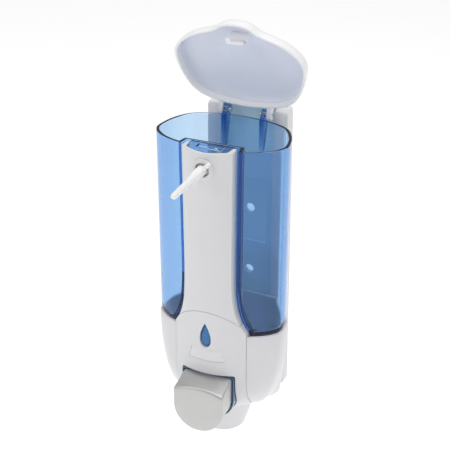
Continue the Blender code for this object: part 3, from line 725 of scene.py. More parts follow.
@dataclass
class Workpiece:
    """A piece in the making: a mesh in millimetres that other shapes are joined to and cut from."""

    name: str
    obj: bpy.types.Object

    @classmethod
    def start(cls, name: str, bm: Shape) -> "Workpiece":
        """Begins a piece.

        Args:
            name: the piece's name.
            bm: its first shape, in millimetres.

        Returns:
            The piece.
        """
        return cls(name, placed(name, bm))

    def _apply(self) -> None:
        """Makes the piece's mesh what its modifiers give."""
        graph = bpy.context.evaluated_depsgraph_get()
        mesh = bpy.data.meshes.new_from_object(self.obj.evaluated_get(graph))
        self.obj.modifiers.clear()
        self.obj.data = mesh

    def _combine(self, operation: str, shapes: Sequence[Shape]) -> "Workpiece":
        """Joins or cuts with each shape in turn."""
        for bm in shapes:
            tool = placed(f"{self.name}_tool", bm)
            modifier = self.obj.modifiers.new("tool", "BOOLEAN")
            modifier.operation, modifier.object, modifier.solver = operation, tool, "EXACT"
            self._apply()
            bpy.data.objects.remove(tool, do_unlink=True)
        return self

    def join(self, *shapes: Shape) -> "Workpiece":
        """Joins shapes to the piece."""
        return self._combine("UNION", shapes)

    def cut(self, *shapes: Shape) -> "Workpiece":
        """Cuts shapes from the piece."""
        return self._combine("DIFFERENCE", shapes)

    def soften(self, width: float, segments: int = 2) -> "Workpiece":
        """Rounds the piece's sharp edges.

        Args:
            width: how far the rounding reaches, in millimetres.
            segments: how many facets it has.

        Returns:
            The piece.
        """
        modifier = self.obj.modifiers.new("soften", "BEVEL")
        modifier.width, modifier.segments, modifier.limit_method = width, segments, "ANGLE"
        modifier.angle_limit = math.radians(SOFTEN_ANGLE)
        modifier.use_clamp_overlap = True
        modifier.miter_outer = "MITER_ARC"
        self._apply()
        return self

    def part(self, body: str, replaces: Sequence[str], slot: str, finish: Finish, sharp: float = 38.0,
             clear: bool = False) -> bpy.types.Object:
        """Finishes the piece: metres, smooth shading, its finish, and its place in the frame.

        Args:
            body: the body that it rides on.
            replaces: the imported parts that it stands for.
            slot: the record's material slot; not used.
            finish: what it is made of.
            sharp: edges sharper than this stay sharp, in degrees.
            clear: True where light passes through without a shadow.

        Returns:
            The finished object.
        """
        mesh = self.obj.data
        bm = bmesh.new()
        bm.from_mesh(mesh)
        bmesh.ops.triangulate(bm, faces=[f for f in bm.faces if len(f.verts) > 4])
        bmesh.ops.scale(bm, verts=bm.verts, vec=(MM, MM, MM))
        bm.to_mesh(mesh)
        bm.free()
        mesh.shade_smooth()
        mesh.set_sharp_from_angle(angle=math.radians(sharp))
        mesh.materials.clear()
        mesh.materials.append(finish.material())
        self.obj.visible_shadow = not clear
        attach(self.obj, body)
        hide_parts(*replaces)
        log.info("%s: %d faces on %s", self.name, len(mesh.polygons), body)
        return self.obj


def dress(obj: bpy.types.Object, finish: Finish, chosen: Callable[[Vector, Vector], bool]) -> None:
    """Gives some of a piece's faces another finish.

    Args:
        obj: the piece.
        finish: what the chosen faces are made of.
        chosen: tells from a face's centre, in millimetres, and its normal.
    """
    obj.data.materials.append(finish.material())
    for face in obj.data.polygons:
        if chosen(face.center / MM, face.normal):
            face.material_index = 1


def carried(node: str, name: str, body: str, slot: str, finish: Finish) -> None:
    """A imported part's own shape with smooth shading and its finish.

    Args:
        node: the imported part.
        name: the piece's name.
        body: the body that it rides on.
        slot: the record's material slot.
        finish: what it is made of.
    """
    bm = bmesh.new()
    bm.from_mesh(bpy.data.objects[node].data)
    bmesh.ops.remove_doubles(bm, verts=bm.verts, dist=1e-7)
    bmesh.ops.scale(bm, verts=bm.verts, vec=(1 / MM, 1 / MM, 1 / MM))
    Workpiece.start(name, bm).part(body, [node], slot, finish, sharp=30)


# --- front strip and cover


@dataclass
class FrontForm:
    """The face that the strip and the cover share: a narrow band that flares out over the base."""

    strip: Box = field(default_factory=lambda: Box.of("front_strip"))
    cover: Box = field(default_factory=lambda: Box.of("front_cover"))
    half_width: float = 16.6
    flare_top: float = 20.0
    edge_y: float = -75.6
    wall: float = 2.0
    turn_y: float = -52.0
    turn_z: float = -70.0
    turn_height: float = 24.0
    bottom: float = -92.0
    seam_z: float = -31.0
    seam_edge_y: float = -71.4
    front_top_y: float = -83.0
    front_seam_y: float = -81.0
    face_points: int = 49
    rounding: float = 0.9  # where the face turns into the sides

    def __post_init__(self) -> None:
        """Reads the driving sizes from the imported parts."""
        self.top, self.seam_x = self.strip.high.z, self.cover.high.x

    def flare(self, z: float) -> float:
        """0 along the strip, rising to 1 where the cover meets the base's seam."""
        return min(max((self.flare_top - z) / (self.flare_top - self.seam_z), 0), 1) ** 4

    def half(self, z: float) -> float:
        """Half the face's width at height z."""
        widening = 0.6 * max((z - self.flare_top) / (self.top - self.flare_top), 0)
        return self.half_width + widening + (self.seam_x - self.half_width) * self.flare(z)

    def turn(self, z: float) -> float:
        """How far the front has turned under: 1 above turn_z, falling below it."""
        return math.sqrt(1 - min(max((self.turn_z - z) / self.turn_height, 0), 0.97) ** 2)

    def side_y(self, z: float) -> float:
        """y of the face's side edges."""
        if z > self.seam_z:
            return self.edge_y + (self.seam_edge_y - self.edge_y) * self.flare(z)
        return self.turn_y + (self.seam_edge_y - self.turn_y) * self.turn(z)

    def centre_y(self, z: float) -> float:
        """y of the face on the plane of symmetry."""
        if z > self.seam_z:
            fall = self.front_seam_y - self.front_top_y
            return self.front_top_y + fall * (self.top - z) / (self.top - self.seam_z)
        down = (self.seam_z - z) / (self.seam_z - self.bottom)
        return self.front_seam_y + 1.2 * down + 6.5 * down ** 5

    def face_y(self, x: float, z: float) -> float:
        """y of the face at a point."""
        centre = self.centre_y(z)
        return centre + (self.side_y(z) - centre) * (x / self.half(z)) ** 2

    def section(self, z: float, back_y: float) -> Loop:
        """The C-shaped section at height z.

        Args:
            z: its height.
            back_y: where its sides end.

        Returns:
            The closed section.
        """
        half, rounding = self.half(z), self.rounding
        reach = half - rounding
        face = [reach * (2 * i / (self.face_points - 1) - 1) for i in range(self.face_points)]
        outer = [Vector((x, self.face_y(x, z), z)) for x in face]
        edge_y = self.face_y(reach, z)
        corner = [Vector((half - rounding * (1 - math.sin(a)), edge_y + rounding * (1 - math.cos(a)), z))
                  for a in (math.radians(18 * i) for i in range(1, 6))]
        corner.append(Vector((half, max(back_y, corner[-1].y + 0.05), z)))
        left = [Vector((-p.x, p.y, z)) for p in reversed(corner)]
        shrink = (half - self.wall) / half
        inner = [Vector((x * shrink, self.face_y(x * shrink, z) + self.wall, z)) for x in face[::-1]]
        end_y = corner[-1].y
        return (left + outer + corner + [Vector((half - self.wall, end_y, z))] + inner
                + [Vector((self.wall - half, end_y, z))])


@dataclass
class FrontPanels:
    """The white strip down the tank's front and the cover below it, with what is set into them."""

    form: FrontForm
    button: "PushButton"
    arch_top: float = -14.5
    arch_drop: float = 8.5
    arch_half: float = 19.5
    boss: float = 7.2
    strip_back_y: float = -68.6
    spout_y: float = -50.0
    spout_top: Pair = (24.4, -88.0)
    spout_end: Pair = (15.0, -117.0)

    def arch(self, side: int, gap: float) -> Shape:
        """Cuts away one side of the arched joint.

        Args:
            side: 1 for what lies above the joint, -1 for what lies below.
            gap: how far the cut stands off the joint.

        Returns:
            The cutter.
        """
        reach, steps = 30.0, 48
        xs = [reach * (2 * i / steps - 1) for i in range(steps + 1)]
        curve = [(x, self.arch_top + gap - self.arch_drop * (x / self.arch_half) ** 2) for x in xs]
        far = 20.0 if side > 0 else -60.0
        return extruded(curve + [(reach, far), (-reach, far)], Axis.Y, -100, -50)

    @staticmethod
    def drop(width: float, top: float, bottom: float, steps: int = 72) -> list[Pair]:
        """A drop's outline, pointed at the top and round at the bottom."""
        middle, half = (top + bottom) / 2, (top - bottom) / 2
        angles = [math.tau * i / steps for i in range(steps)]
        return [(width * 1.3 * math.sin(a) * math.sin(a / 2), middle + half * math.cos(a)) for a in angles]

    def strip(self) -> None:
        """The strip with the boss round the lock."""
        form, lock = self.form, Box.of("lock_barrel").centre
        lip_z, back_y = form.top - 0.6, self.strip_back_y
        heights = [-24.5 + 44.5 * i / 30 for i in range(31)] + [30, 45, 60, 75, 90, lip_z]
        loops = [form.section(z, back_y) for z in heights]
        for lift, shrink in ((0.35, 0.12), (0.52, 0.3), (0.6, 0.6)):
            z = lip_z + lift
            rim = form.section(z, back_y)
            middle = Vector((0, form.centre_y(z) + form.wall / 2, z))
            loops.append([p + (middle - p).normalized() * shrink * 0.6 for p in rim])
        piece = Workpiece.start("front_strip_moulding", lofted(loops))
        piece.cut(self.arch(-1, 0), rod(5.6, -90, -76, (0, 0, lock.z), Axis.Y))
        lip = arc((self.boss - 0.5, -83.7), 0.5, 0, -90, 4)
        profile = [(4.7, -83.9), (4.95, -84.2)] + lip[::-1] + [
            (self.boss, -76.4), (6.4, -75.6), (6.4, -74.2), (4.7, -74.2)]
        piece.join(turned(profile, (0, 0, lock.z), Axis.Y, ring=True))
        piece.part("body", ["front_strip"], "white_abs", Finish.ABS)

    def cover_panel(self) -> None:
        """The cover, which runs down into the spout's shroud."""
        form = self.form
        heights = ([form.bottom + 22 * i / 24 for i in range(25)] + [-66, -60, -52, -44, -36, form.seam_z]
                   + [form.seam_z + 19 * i / 14 for i in range(1, 15)])
        loops = [form.section(z, -68.0 if z > form.seam_z else form.side_y(z) + 4) for z in heights]
        piece = Workpiece.start("front_cover_moulding", lofted(loops))
        (top_r, top_z), (end_r, end_z) = self.spout_top, self.spout_end
        profile = ([(top_r - form.wall, top_z), (top_r, top_z), (end_r + 0.45, end_z + 1.4)]
                   + arc((end_r - 0.6, end_z + 1.0), 1.0, 0, -90, 5) + [(end_r - form.wall, end_z + 0.2),
                                                                    (end_r - form.wall, end_z + 1)])
        piece.cut(self.arch(1, -GAP)).join(turned(profile, (0, self.spout_y, 0), steps=128, ring=True))
        piece.cut(extruded(self.button.outline(1.75, 1, 1), Axis.Y, -100, -60),
                  extruded(self.drop(4.0, -23.3, -42.0), Axis.Y, -90, -60), self.badge_shape(0.1, 0.5, -0.8))
        piece.part("body", ["front_cover"], "white_abs", Finish.ABS, sharp=44)

    def badge_shape(self, grow: float, outset: float, inward: float) -> Shape:
        """The blank badge, or the space that it sits in.

        Args:
            grow: how much larger than the badge the shape is.
            outset: how far it stands out from the cover's face.
            inward: the y from the face to its back, below 0.

        Returns:
            The shape.
        """
        sections = []
        rows = ((-52.3 - grow, 13.0), (-50.0, 12.3), (-48.0, 11.7), (-46.0, 11.0), (-43.9 + grow, 10.4))
        for z, half_width in rows:
            xs = [(half_width + grow) * (i / 8 - 1) for i in range(17)]
            sections.append([Vector((x, self.form.face_y(x, z) - outset, z)) for x in xs]
                            + [Vector((x, self.form.face_y(x, z) - inward, z)) for x in xs[::-1]])
        return lofted(sections)

    def badge(self) -> None:
        """The blank badge under the drop window."""
        piece = Workpiece.start("blank_badge", self.badge_shape(0.0, -0.1, -0.7)).soften(0.15)
        piece.part("body", ["name_plate"], "lid_white", Finish.BADGE)

    def window(self) -> None:
        """The drop shaped level window, a crowned lens with a flange behind the cover."""
        sections = []
        for y, shrink in ((-80.25, 0.42), (-80.15, 0.62), (-79.9, 0.8), (-79.4, 0.93), (-78.8, 1.0), (-76.6, 1.0)):
            sections.append([Vector((x * shrink, y, -33.4 + (z + 33.4) * shrink))
                             for x, z in self.drop(3.65, -23.9, -41.6)])
        piece = Workpiece.start("level_lens", lofted(sections))
        piece.join(extruded(self.drop(6.5, -20.5, -45.0), Axis.Y, -78.0, -76.4))
        piece.part("body", ["level_window"], "blue_clear", Finish.LENS, clear=True)

    def build(self) -> None:
        """Makes the strip, the cover, the badge and the window."""
        self.strip()
        self.cover_panel()
        self.badge()
        self.window()


# --- tank


@dataclass
class Tank:
    """The transparent tank: a tapered cup with a recess down its front and two hinge lugs at its back."""

    form: FrontForm
    plan: tuple[Pair, ...] = (
        (0, -73.2), (12, -73.0), (22, -72.0), (32.5, -68.2), (40.5, -62.0), (44.6, -55.0), (44.2, -46.0),
        (41.4, -36.5), (36.2, -27.5), (29.0, -22.0), (18.0, -18.4), (0, -16.6))
    rim: float = 99.2
    bottom: float = -33.5
    floor: float = 2.5
    wall: float = 2.0
    draft: float = 0.022
    centre_y: float = -45.0
    recess_y: float = -66.0
    recess_side: float = 2.4
    recess_fillet: float = 0.9
    lug_x: Pair = (11.7, 15.1)
    port: float = 4.4
    port_bore: float = 2.8

    def section(self, z: float, wall: float = 0.0, shrink: float = 0.0) -> Loop:
        """The tank's outline at height z.

        Args:
            z: its height.
            wall: how far inside the outer face it lies.
            shrink: how far it is drawn in on both faces of the wall, as at a rounded rim.

        Returns:
            The closed outline.
        """
        depth = wall + shrink
        corner_x = self.form.half(z) + self.recess_side + depth
        curve = smooth_half(self.plan, 10)
        if depth:
            curve = inset(mirrored(curve), depth)[:len(curve)]
        front = [p for p in curve if p.x < corner_x and p.y < self.centre_y]
        rest = curve[len(front):]
        t = (corner_x - front[-1].x) / (rest[0].x - front[-1].x)
        corner = front[-1].lerp(rest[0], t)
        recess = self.recess_y + depth
        side, radius = corner_x - 0.95, self.recess_fillet
        half = [Vector((0, recess)), Vector((side * 0.5, recess)), Vector((side - 1.5 * radius, recess))]
        half += [Vector(p) for p in arc((side - radius, recess - radius), radius, 90, 0, 4)]
        half += [Vector((side + 0.02, recess - 1.5 * radius)), *resample([corner] + rest, 64)]
        half[-1] = Vector((0, half[-1].y))
        scale = 1 - self.draft * (self.rim - z) / (self.rim - self.bottom)
        return [Vector((p.x * scale, self.centre_y + (p.y - self.centre_y) * scale, z)) for p in mirrored(half)]

    def shell(self) -> Shape:
        """The cup with its rounded rim and foot."""
        floor = self.bottom + self.floor
        rising = [-30.5 + 50.5 * i / 26 for i in range(27)] + [35, 50, 65, 80, 92, self.rim - 1.0, self.rim - 0.5]
        wall, rim = self.wall, self.rim
        rows = [(self.bottom, 0, 0.9), (self.bottom + 0.3, 0, 0.35), (self.bottom + 1.0, 0, 0)]
        rows += [(z, 0, 0) for z in rising]
        rows += [(rim - 0.15, 0, 0.15), (rim, 0, 0.5), (rim, wall, -0.5), (rim - 0.15, wall, -0.15)]
        rows += [(z, wall, 0) for z in rising[:0:-1]]
        rows += [(floor + 0.9, wall, 0), (floor + 0.3, wall, 0.3), (floor, wall, 0.9)]
        return lofted([self.section(*row) for row in rows])

    def lug(self, low_x: float, high_x: float) -> Shape:
        """A hinge lug with the rib that carries it down the tank's back."""
        tip = arc((hinge_pin().y, hinge_pin().z), 3.6, 135, -45, 16)
        back, front = [(-18.4, 77.0), (-18.4, 98.6), (-16.0, 100.4)], [(-11.0, 93.0), (-13.6, 85.0), (-16.0, 77.0)]
        return extruded(back + tip + front, Axis.X, low_x, high_x)

    def build(self) -> None:
        """Makes the tank."""
        port = (0, Box.of("inlet_gasket").centre.y, 0)
        shelf = [(-14.8, -65.3), (14.8, -65.3), (14.8, -75.2), (8, -78.9), (0, -80.2), (-8, -78.9), (-14.8, -75.2)]
        piece = Workpiece.start("tank_cup", self.shell())
        piece.join(extruded(shelf, Axis.Z, self.rim - 2.0, self.rim - 0.3))
        piece.cut(brick((-8.8, -73.8, 95), (8.8, -67.6, 101)))
        for low_x, high_x in both_sides(*self.lug_x):
            piece.join(self.lug(low_x, high_x)).cut(hinge_hole(low_x, high_x))
        floor = self.bottom + self.floor
        piece.join(rod(self.port, -54, self.bottom + 1, port)).cut(rod(self.port_bore, -56, floor + 1, port))
        piece.part("body", ["tank"], "blue_clear", Finish.TANK, sharp=32, clear=True)


# --- lid


@dataclass
class Lid:
    """The lid: a shallow dome with a skirt, a nose over the lock, a latch tongue and two ears."""

    plan: tuple[Pair, ...] = (
        (0, -81.6), (6.0, -81.0), (10.5, -79.2), (14.0, -76.6), (18.0, -74.6), (25.0, -72.2), (33.0, -68.6),
        (40.8, -62.6), (45.0, -55.2), (44.5, -46.2), (41.6, -36.6), (36.4, -27.6), (29.0, -22.0), (18.0, -18.8),
        (0, -17.2))
    centre_y: float = -46.0
    rim: float = 99.5
    lip: float = 3.2  # the height of the skirt's inside that stays white, free of the painted shade
    open_angle: float = math.radians(73)
    ear_x: Pair = (15.5, 18.3)

    def __post_init__(self) -> None:
        """Reads the hinge's axis from its pin."""
        pin = hinge_pin()
        self.hinge = Vector((0, pin.y, pin.z))

    def opened(self, bm: Shape) -> Shape:
        """Turns a shape made in the closed position to where the lid stands open."""
        bmesh.ops.transform(bm, matrix=about(self.hinge, -self.open_angle, "X"), verts=bm.verts)
        return bm

    def dome(self) -> Shape:
        """The dome and its skirt, with a rounded lip."""
        plan = mirrored(smooth_half(self.plan, 6))
        outside = [(0.0, 109.75), (0.25, 109.7), (0.5, 109.55), (0.7, 109.3), (0.82, 108.95), (0.9, 108.45),
                   (0.945, 107.7), (0.972, 106.7), (0.987, 105.4), (0.995, 103.5), (1.0, 100.1), (0.999, 99.7),
                   (0.992, self.rim)]
        inside = [(0.966, self.rim), (0.958, 99.7), (0.956, 100.2), (0.95, 103.6), (0.94, 105.0), (0.915, 106.1),
                  (0.87, 106.75), (0.78, 107.2), (0.5, 107.5), (0.25, 107.6), (0.0, 107.65)]
        sections = []
        for share, z in outside[1:] + inside[:-1]:
            sections.append([Vector((p.x * share, self.centre_y + (p.y - self.centre_y) * share, z)) for p in plan])
        return lofted(sections)

    def build(self) -> None:
        """Makes the lid."""
        piece = Workpiece.start("lid_moulding", self.opened(self.dome()))
        tongue = [(-6.2, 108.3), (6.2, 108.3), (6.2, 98.6)] + arc((2.9, 99.5), 3.3, 0, -80, 5) + [
            (-5.6, 96.2), (-6.2, 98.6)]
        tip = arc((self.hinge.y, self.hinge.z), 3.3, 100, -100, 16)
        piece.join(self.opened(extruded(tongue, Axis.Y, -70.4, -68.6)),
                   self.opened(brick((-5.6, -72.8, 96.2), (-2.4, -68.9, 97.2))))
        ear = [(-20.0, 100.6), (-20.0, 105.4), (-17.0, 105.4)] + tip
        for low_x, high_x in both_sides(*self.ear_x):
            piece.join(self.opened(extruded(ear, Axis.X, low_x, high_x))).cut(hinge_hole(low_x, high_x))
        made = piece.part("lid", ["lid"], "lid_white", Finish.LID, sharp=42)
        back = Matrix.Rotation(self.open_angle, 3, "X")

        def inside(place: Vector, normal: Vector) -> bool:
            """True for the hollow's faces, which look down once the lid is shut and get a painted bluish shade."""
            shut, facing = back @ (place - self.hinge) + self.hinge, back @ normal
            return shut.z > self.rim + self.lip and facing.z < -0.1

        # painted shade on the lid's hollow, darker and bluish, standing in for shade and the tank's blue light
        dress(made, Finish.LID_INSIDE, inside)


# --- lock and key


@dataclass
class LockAndKey:
    """The cam lock in the strip's boss, and its key."""

    angle: float = math.radians(45)

    def __post_init__(self) -> None:
        """Reads the lock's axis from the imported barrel."""
        self.z = Box.of("lock_barrel").centre.z

    def turn(self, bm: Shape) -> Shape:
        """Turns a shape about the lock's axis to the key's resting angle."""
        bmesh.ops.transform(bm, matrix=about(Vector((0, 0, self.z)), self.angle, "Y"), verts=bm.verts)
        return bm

    def bar(self, x: float, y: Pair, z: float, rounding: float = 0.0, segments: int = 3) -> Shape:
        """A block across the lock's axis.

        Args:
            x: half its width.
            y: where it starts and ends along the axis.
            z: half its height.
            rounding: the radius along its edges.
            segments: how many facets round them.

        Returns:
            The block, turned to the key's resting angle.
        """
        return self.turn(brick((-x, y[0], self.z - z), (x, y[1], self.z + z), rounding, segments))

    def build(self) -> None:
        """Makes the barrel and the key, and dresses the lock's inner pieces."""
        axis = (0, 0, self.z)
        profile = [(0, -81.9), (3.7, -82.0), (4.15, -81.85), (4.4, -81.5), (4.4, -74.0), (2.9, -74.0), (2.9, -72.9),
                   (2.2, -72.9), (2.2, -71.2), (0, -71.2)]
        barrel = Workpiece.start("lock_plug", turned(profile, axis, Axis.Y))
        barrel.cut(self.bar(1.0, (-84, -76.5), 3.8), rod(1.1, -75, -70, axis, Axis.Y))
        barrel.part("lock", ["lock_barrel"], "white_abs", Finish.ABS)
        shank = [(0, -84.0), (3.0, -84.0), (3.3, -84.35), (3.4, -88.0), (3.3, -91.5), (3.0, -95.5), (2.6, -101.0),
                 (2.35, -108.0), (2.15, -118.0), (2.0, -124.2), (1.85, -125.3), (1.35, -126.0), (0.7, -126.2),
                 (0, -126.2)]
        key = Workpiece.start("key_moulding", turned(shank, axis, Axis.Y, 64))
        key.join(self.bar(1.3, (-88.4, -85.0), 9.0, 0.7, 4), self.bar(0.65, (-86, -77.5), 3.4, 0.2))
        key.part("key", ["key"], "key_white", Finish.KEY, sharp=35)
        carried("lock_clip", "lock_spring_clip", "lock", "steel", Finish.STEEL)
        carried("latch_cam", "latch_cam_moulding", "lock", "natural_plastic", Finish.NATURAL)


# --- push button


@dataclass
class PushButton:
    """The push button and the bezel that it runs in."""

    middle_z: float = -82.0
    travel: float = 8.0
    top_run: float = 17.0
    corner: float = 1.6
    wall: float = 1.8

    def __post_init__(self) -> None:
        """Reads the button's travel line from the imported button."""
        box = Box.of("push_button")
        self.front, self.back = box.low.y, box.high.y

    def outline(self, grow: float, rise: float, taper: float) -> list[Pair]:
        """The button's outline.

        Args:
            grow: how much larger than the button the outline is.
            rise: how far the top has risen, from 0 at the button's front to 1.
            taper: how far the sides and the bottom have drawn in, from 0 at the front to 1.

        Returns:
            The outline in (x, z).
        """
        half, corner = 18.0 - 0.6 * taper + grow, self.corner
        top, shoulder = -66.5 + 2.3 * rise + grow, -70.5 + 5.6 * rise + grow
        bottom = -100.5 + 3.0 * taper - grow
        reach = half - corner
        over = [(reach * i / 16, top + (shoulder - top) * (reach / half * i / 16) ** 2) for i in range(-16, 17)]
        edge = over[-1][1]
        right = arc((half - corner, edge - corner), corner, 90, 0, 6)[1:]
        left = [(-x, z) for x, z in reversed(right)]
        angles = [math.pi * i / 48 for i in range(49)]
        under = [(half * math.cos(a), self.middle_z + (bottom - self.middle_z) * math.sin(a)) for a in angles]
        return over + right + under + left

    def section(self, y: float, smaller: float) -> Loop:
        """The button's section at y, drawn in by smaller."""
        depth = y - self.front
        outline = self.outline(-smaller, min(depth / self.top_run, 1), min(depth / self.travel, 1))
        return [Vector((x, y, z)) for x, z in outline]

    def build(self) -> None:
        """Makes the button and its bezel."""
        front, back = self.front, self.back
        crown = []
        for share, lift in ((0.3, 0.0), (0.6, 0.06), (0.85, 0.2)):
            rim = self.section(front + lift, 1.6)
            middle = Vector((0, front + lift, -83.0))
            crown.append([middle.lerp(p, share) for p in rim])
        edge = [(front + 0.32, 1.15), (front + 0.52, 0.62), (front + 0.85, 0.24), (front + 1.35, 0.04)]
        side = [(y, 0.0) for y in (front + 2.0, -90, front + self.travel, -82, -77.2, back - 0.3)]
        inside = [(back, 0.3), (back, 1.5), (-77.2, self.wall), (-85, self.wall), (front + 2.4, self.wall + 0.1)]
        cap = lofted(crown + [self.section(y, smaller) for y, smaller in edge + side + inside])
        Workpiece.start("button_cap", cap).part("button", ["push_button"], "satin_silver", Finish.SATIN, sharp=50)
        rings = [(-77.0, 1.15), (-76.8, 1.35), (-64.0, 1.35), (-64.0, 0.55), (-76.8, 0.55), (-77.0, 0.75)]
        sections = [[Vector((x, y, z)) for x, z in self.outline(grow, 1, 1)] for y, grow in rings]
        bezel = lofted(sections + sections[:1], ends=False)
        Workpiece.start("bezel_ring", bezel).part("body", ["button_bezel"], "deep_blue", Finish.DEEP_BLUE)


# --- base and plate


@dataclass
class Base:
    """The white base housing below the tank."""

    form: FrontForm
    plan: tuple[Pair, ...] = (
        (0, -71.0), (25.8, -71.0), (36.5, -65.2), (43.2, -58.4), (44.3, -51.5), (43.2, -43.0), (39.6, -34.0),
        (34.2, -25.6), (29.6, -18.0), (28.3, -10.3), (0, -10.3))
    core_x: float = 26.0
    turn_z: float = -36.0
    turn_height: float = 57.5
    back_y: Pair = (-46.0, -20.0)
    slope: float = 0.19
    slope_top: float = -50.0
    lowest: float = -93.4
    wall: float = 2.0
    boss_x: float = 14.0
    boss_z: float = -82.0
    bottom: float = -105.0
    spout_y: float = -50.0

    def outline(self, z: float, smaller: float) -> Loop:
        """The housing's outline where its sides turn in and its front turns under."""
        turn = math.sqrt(1 - min(max((self.turn_z - z) / self.turn_height, 0), 0.99) ** 2)
        half = []
        for x, y in self.plan:
            if x > self.core_x:
                at_back = min(max((y - self.back_y[0]) / (self.back_y[1] - self.back_y[0]), 0), 1)
                x = self.core_x + (x - self.core_x) * (turn + (1 - turn) * at_back)
            if y < self.form.turn_y:
                y = self.form.turn_y + (y - self.form.turn_y) * self.form.turn(z)
            half.append(Vector((x, y)))
        middle = resample(smooth_curve(half[1:-1], 10, half[1], half[-2]), 44)
        loop = mirrored([half[0]] + middle + [half[-1]])
        return inset(loop, smaller) if smaller else loop

    def section(self, z: float, smaller: float) -> Loop:
        """A section of the housing, tilted towards its sloping bottom."""
        share = min(max((self.slope_top - z) / (self.slope_top - self.bottom), 0), 1)
        lift = self.slope * share
        shape_z = max(z + lift * 58, self.lowest)
        return [Vector((p.x, p.y, z - lift * p.y)) for p in self.outline(shape_z, smaller)]

    def build(self) -> None:
        """Makes the housing."""
        top = Box.of("base_housing").high.z
        levels = [-105.0, -104.5, -103.8, -102.6, -101.0, -99.5, -97, -94, -91, -88, -84, -80, -75, -70, -63, -55,
                  -47, -40, top - 0.4]
        drawn_in = {-105.0: 1.3, -104.5: 0.5, -103.8: 0.15}
        outer = [self.section(z, drawn_in.get(z, 0.0)) for z in levels]
        outer += [self.section(top - 0.1, 0.12), self.section(top, 0.4)]
        inner = [self.section(top, self.wall - 0.3), self.section(top - 0.3, self.wall)]
        inner += [self.section(z, self.wall) for z in levels[-2:4:-1]] + [self.section(-102.9, self.wall + 0.6)]
        piece = Workpiece.start("base_moulding", lofted(outer + inner))
        piece.cut(brick((-25.6, -80, -101), (25.6, -62.0, -30)))
        hole = [(0, -76.0), (29.2, -76.0), (15.45, -117.0), (0, -117.0)]
        piece.cut(turned(hole, (0, self.spout_y, 0)), brick((-25.75, -80, -101), (25.75, -55.5, -84)),
                  brick((-23.9, -80, -101), (23.9, -50.0, -86)))
        boss = [(0, -11.5), (3.4, -11.5), (3.4, -42.9), (1.6, -42.9), (1.6, -30), (0, -30)]
        for x in (-self.boss_x, self.boss_x):
            piece.join(turned(boss, (x, 0, self.boss_z), Axis.Y, 48))
        for x in (-HOUSING_SCREW_X, HOUSING_SCREW_X):
            piece.cut(rod(1.9, -14, -9, (x, 0, HOUSING_SCREW_Z), Axis.Y))
        piece.part("body", ["base_housing"], "white_abs", Finish.ABS, sharp=40)


@dataclass
class BackPlate:
    """The plate on the wall: a web with two rails that the dispenser hangs on."""

    rail_inner_x: float = 19.2
    web_y: float = -4.0
    corner: float = 4.0
    wall_holes: Pair = (26.7, -20.0)
    wall_hole: float = 3.3

    def build(self) -> None:
        """Makes the plate."""
        box = Box.of("back_plate")
        width, height, front = box.high.x, box.high.z, box.low.y
        side_view = [(-1.0, -height), (front + 0.6, -height), (front, -height + 0.6), (front, 100.8), (-9.2, 102.2),
                     (-2.2, height), (-1.0, height)]
        piece = Workpiece.start("plate_moulding", brick((-width, self.web_y, -height), (width, 0, height)))
        for low_x, high_x in both_sides(self.rail_inner_x, width):
            piece.join(extruded(side_view, Axis.X, low_x, high_x))
        piece.soften(0.5, 3)
        for side in (-1, 1):
            rounding = [(side * (x + width - self.corner), z + height - self.corner)
                        for x, z in arc((0, 0), self.corner, 90, 0, 10)]
            outline = [(side * (width + 1), height + 1), (side * (width - self.corner), height + 1)] + rounding + [
                (side * (width + 1), height - self.corner)]
            piece.cut(extruded(outline, Axis.Y, front - 2, 1),
                      rod(1.8, -11, -2.5, (side * HOUSING_SCREW_X, 0, HOUSING_SCREW_Z), Axis.Y))
        piece.cut(brick((-12.4, -6, 2), (12.4, -2.6, 49.5), 1.2))
        for z in self.wall_holes:
            piece.cut(rod(self.wall_hole, -6, 1, (0, 0, z), Axis.Y))
        made = piece.part("body", ["back_plate"], "plate_white", Finish.PLATE, sharp=30)

        def takes_painted_blue_light(place: Vector, normal: Vector) -> bool:
            """True for the faces between the rails that look forward, which get a painted blue light."""
            return abs(place.x) < self.rail_inner_x + 0.5 and normal.y < -0.5 and place.y > self.web_y - 0.6

        # painted blue light on the web between the rails, standing in for light through the tank
        dress(made, Finish.WEB, takes_painted_blue_light)


# --- pump and fixings


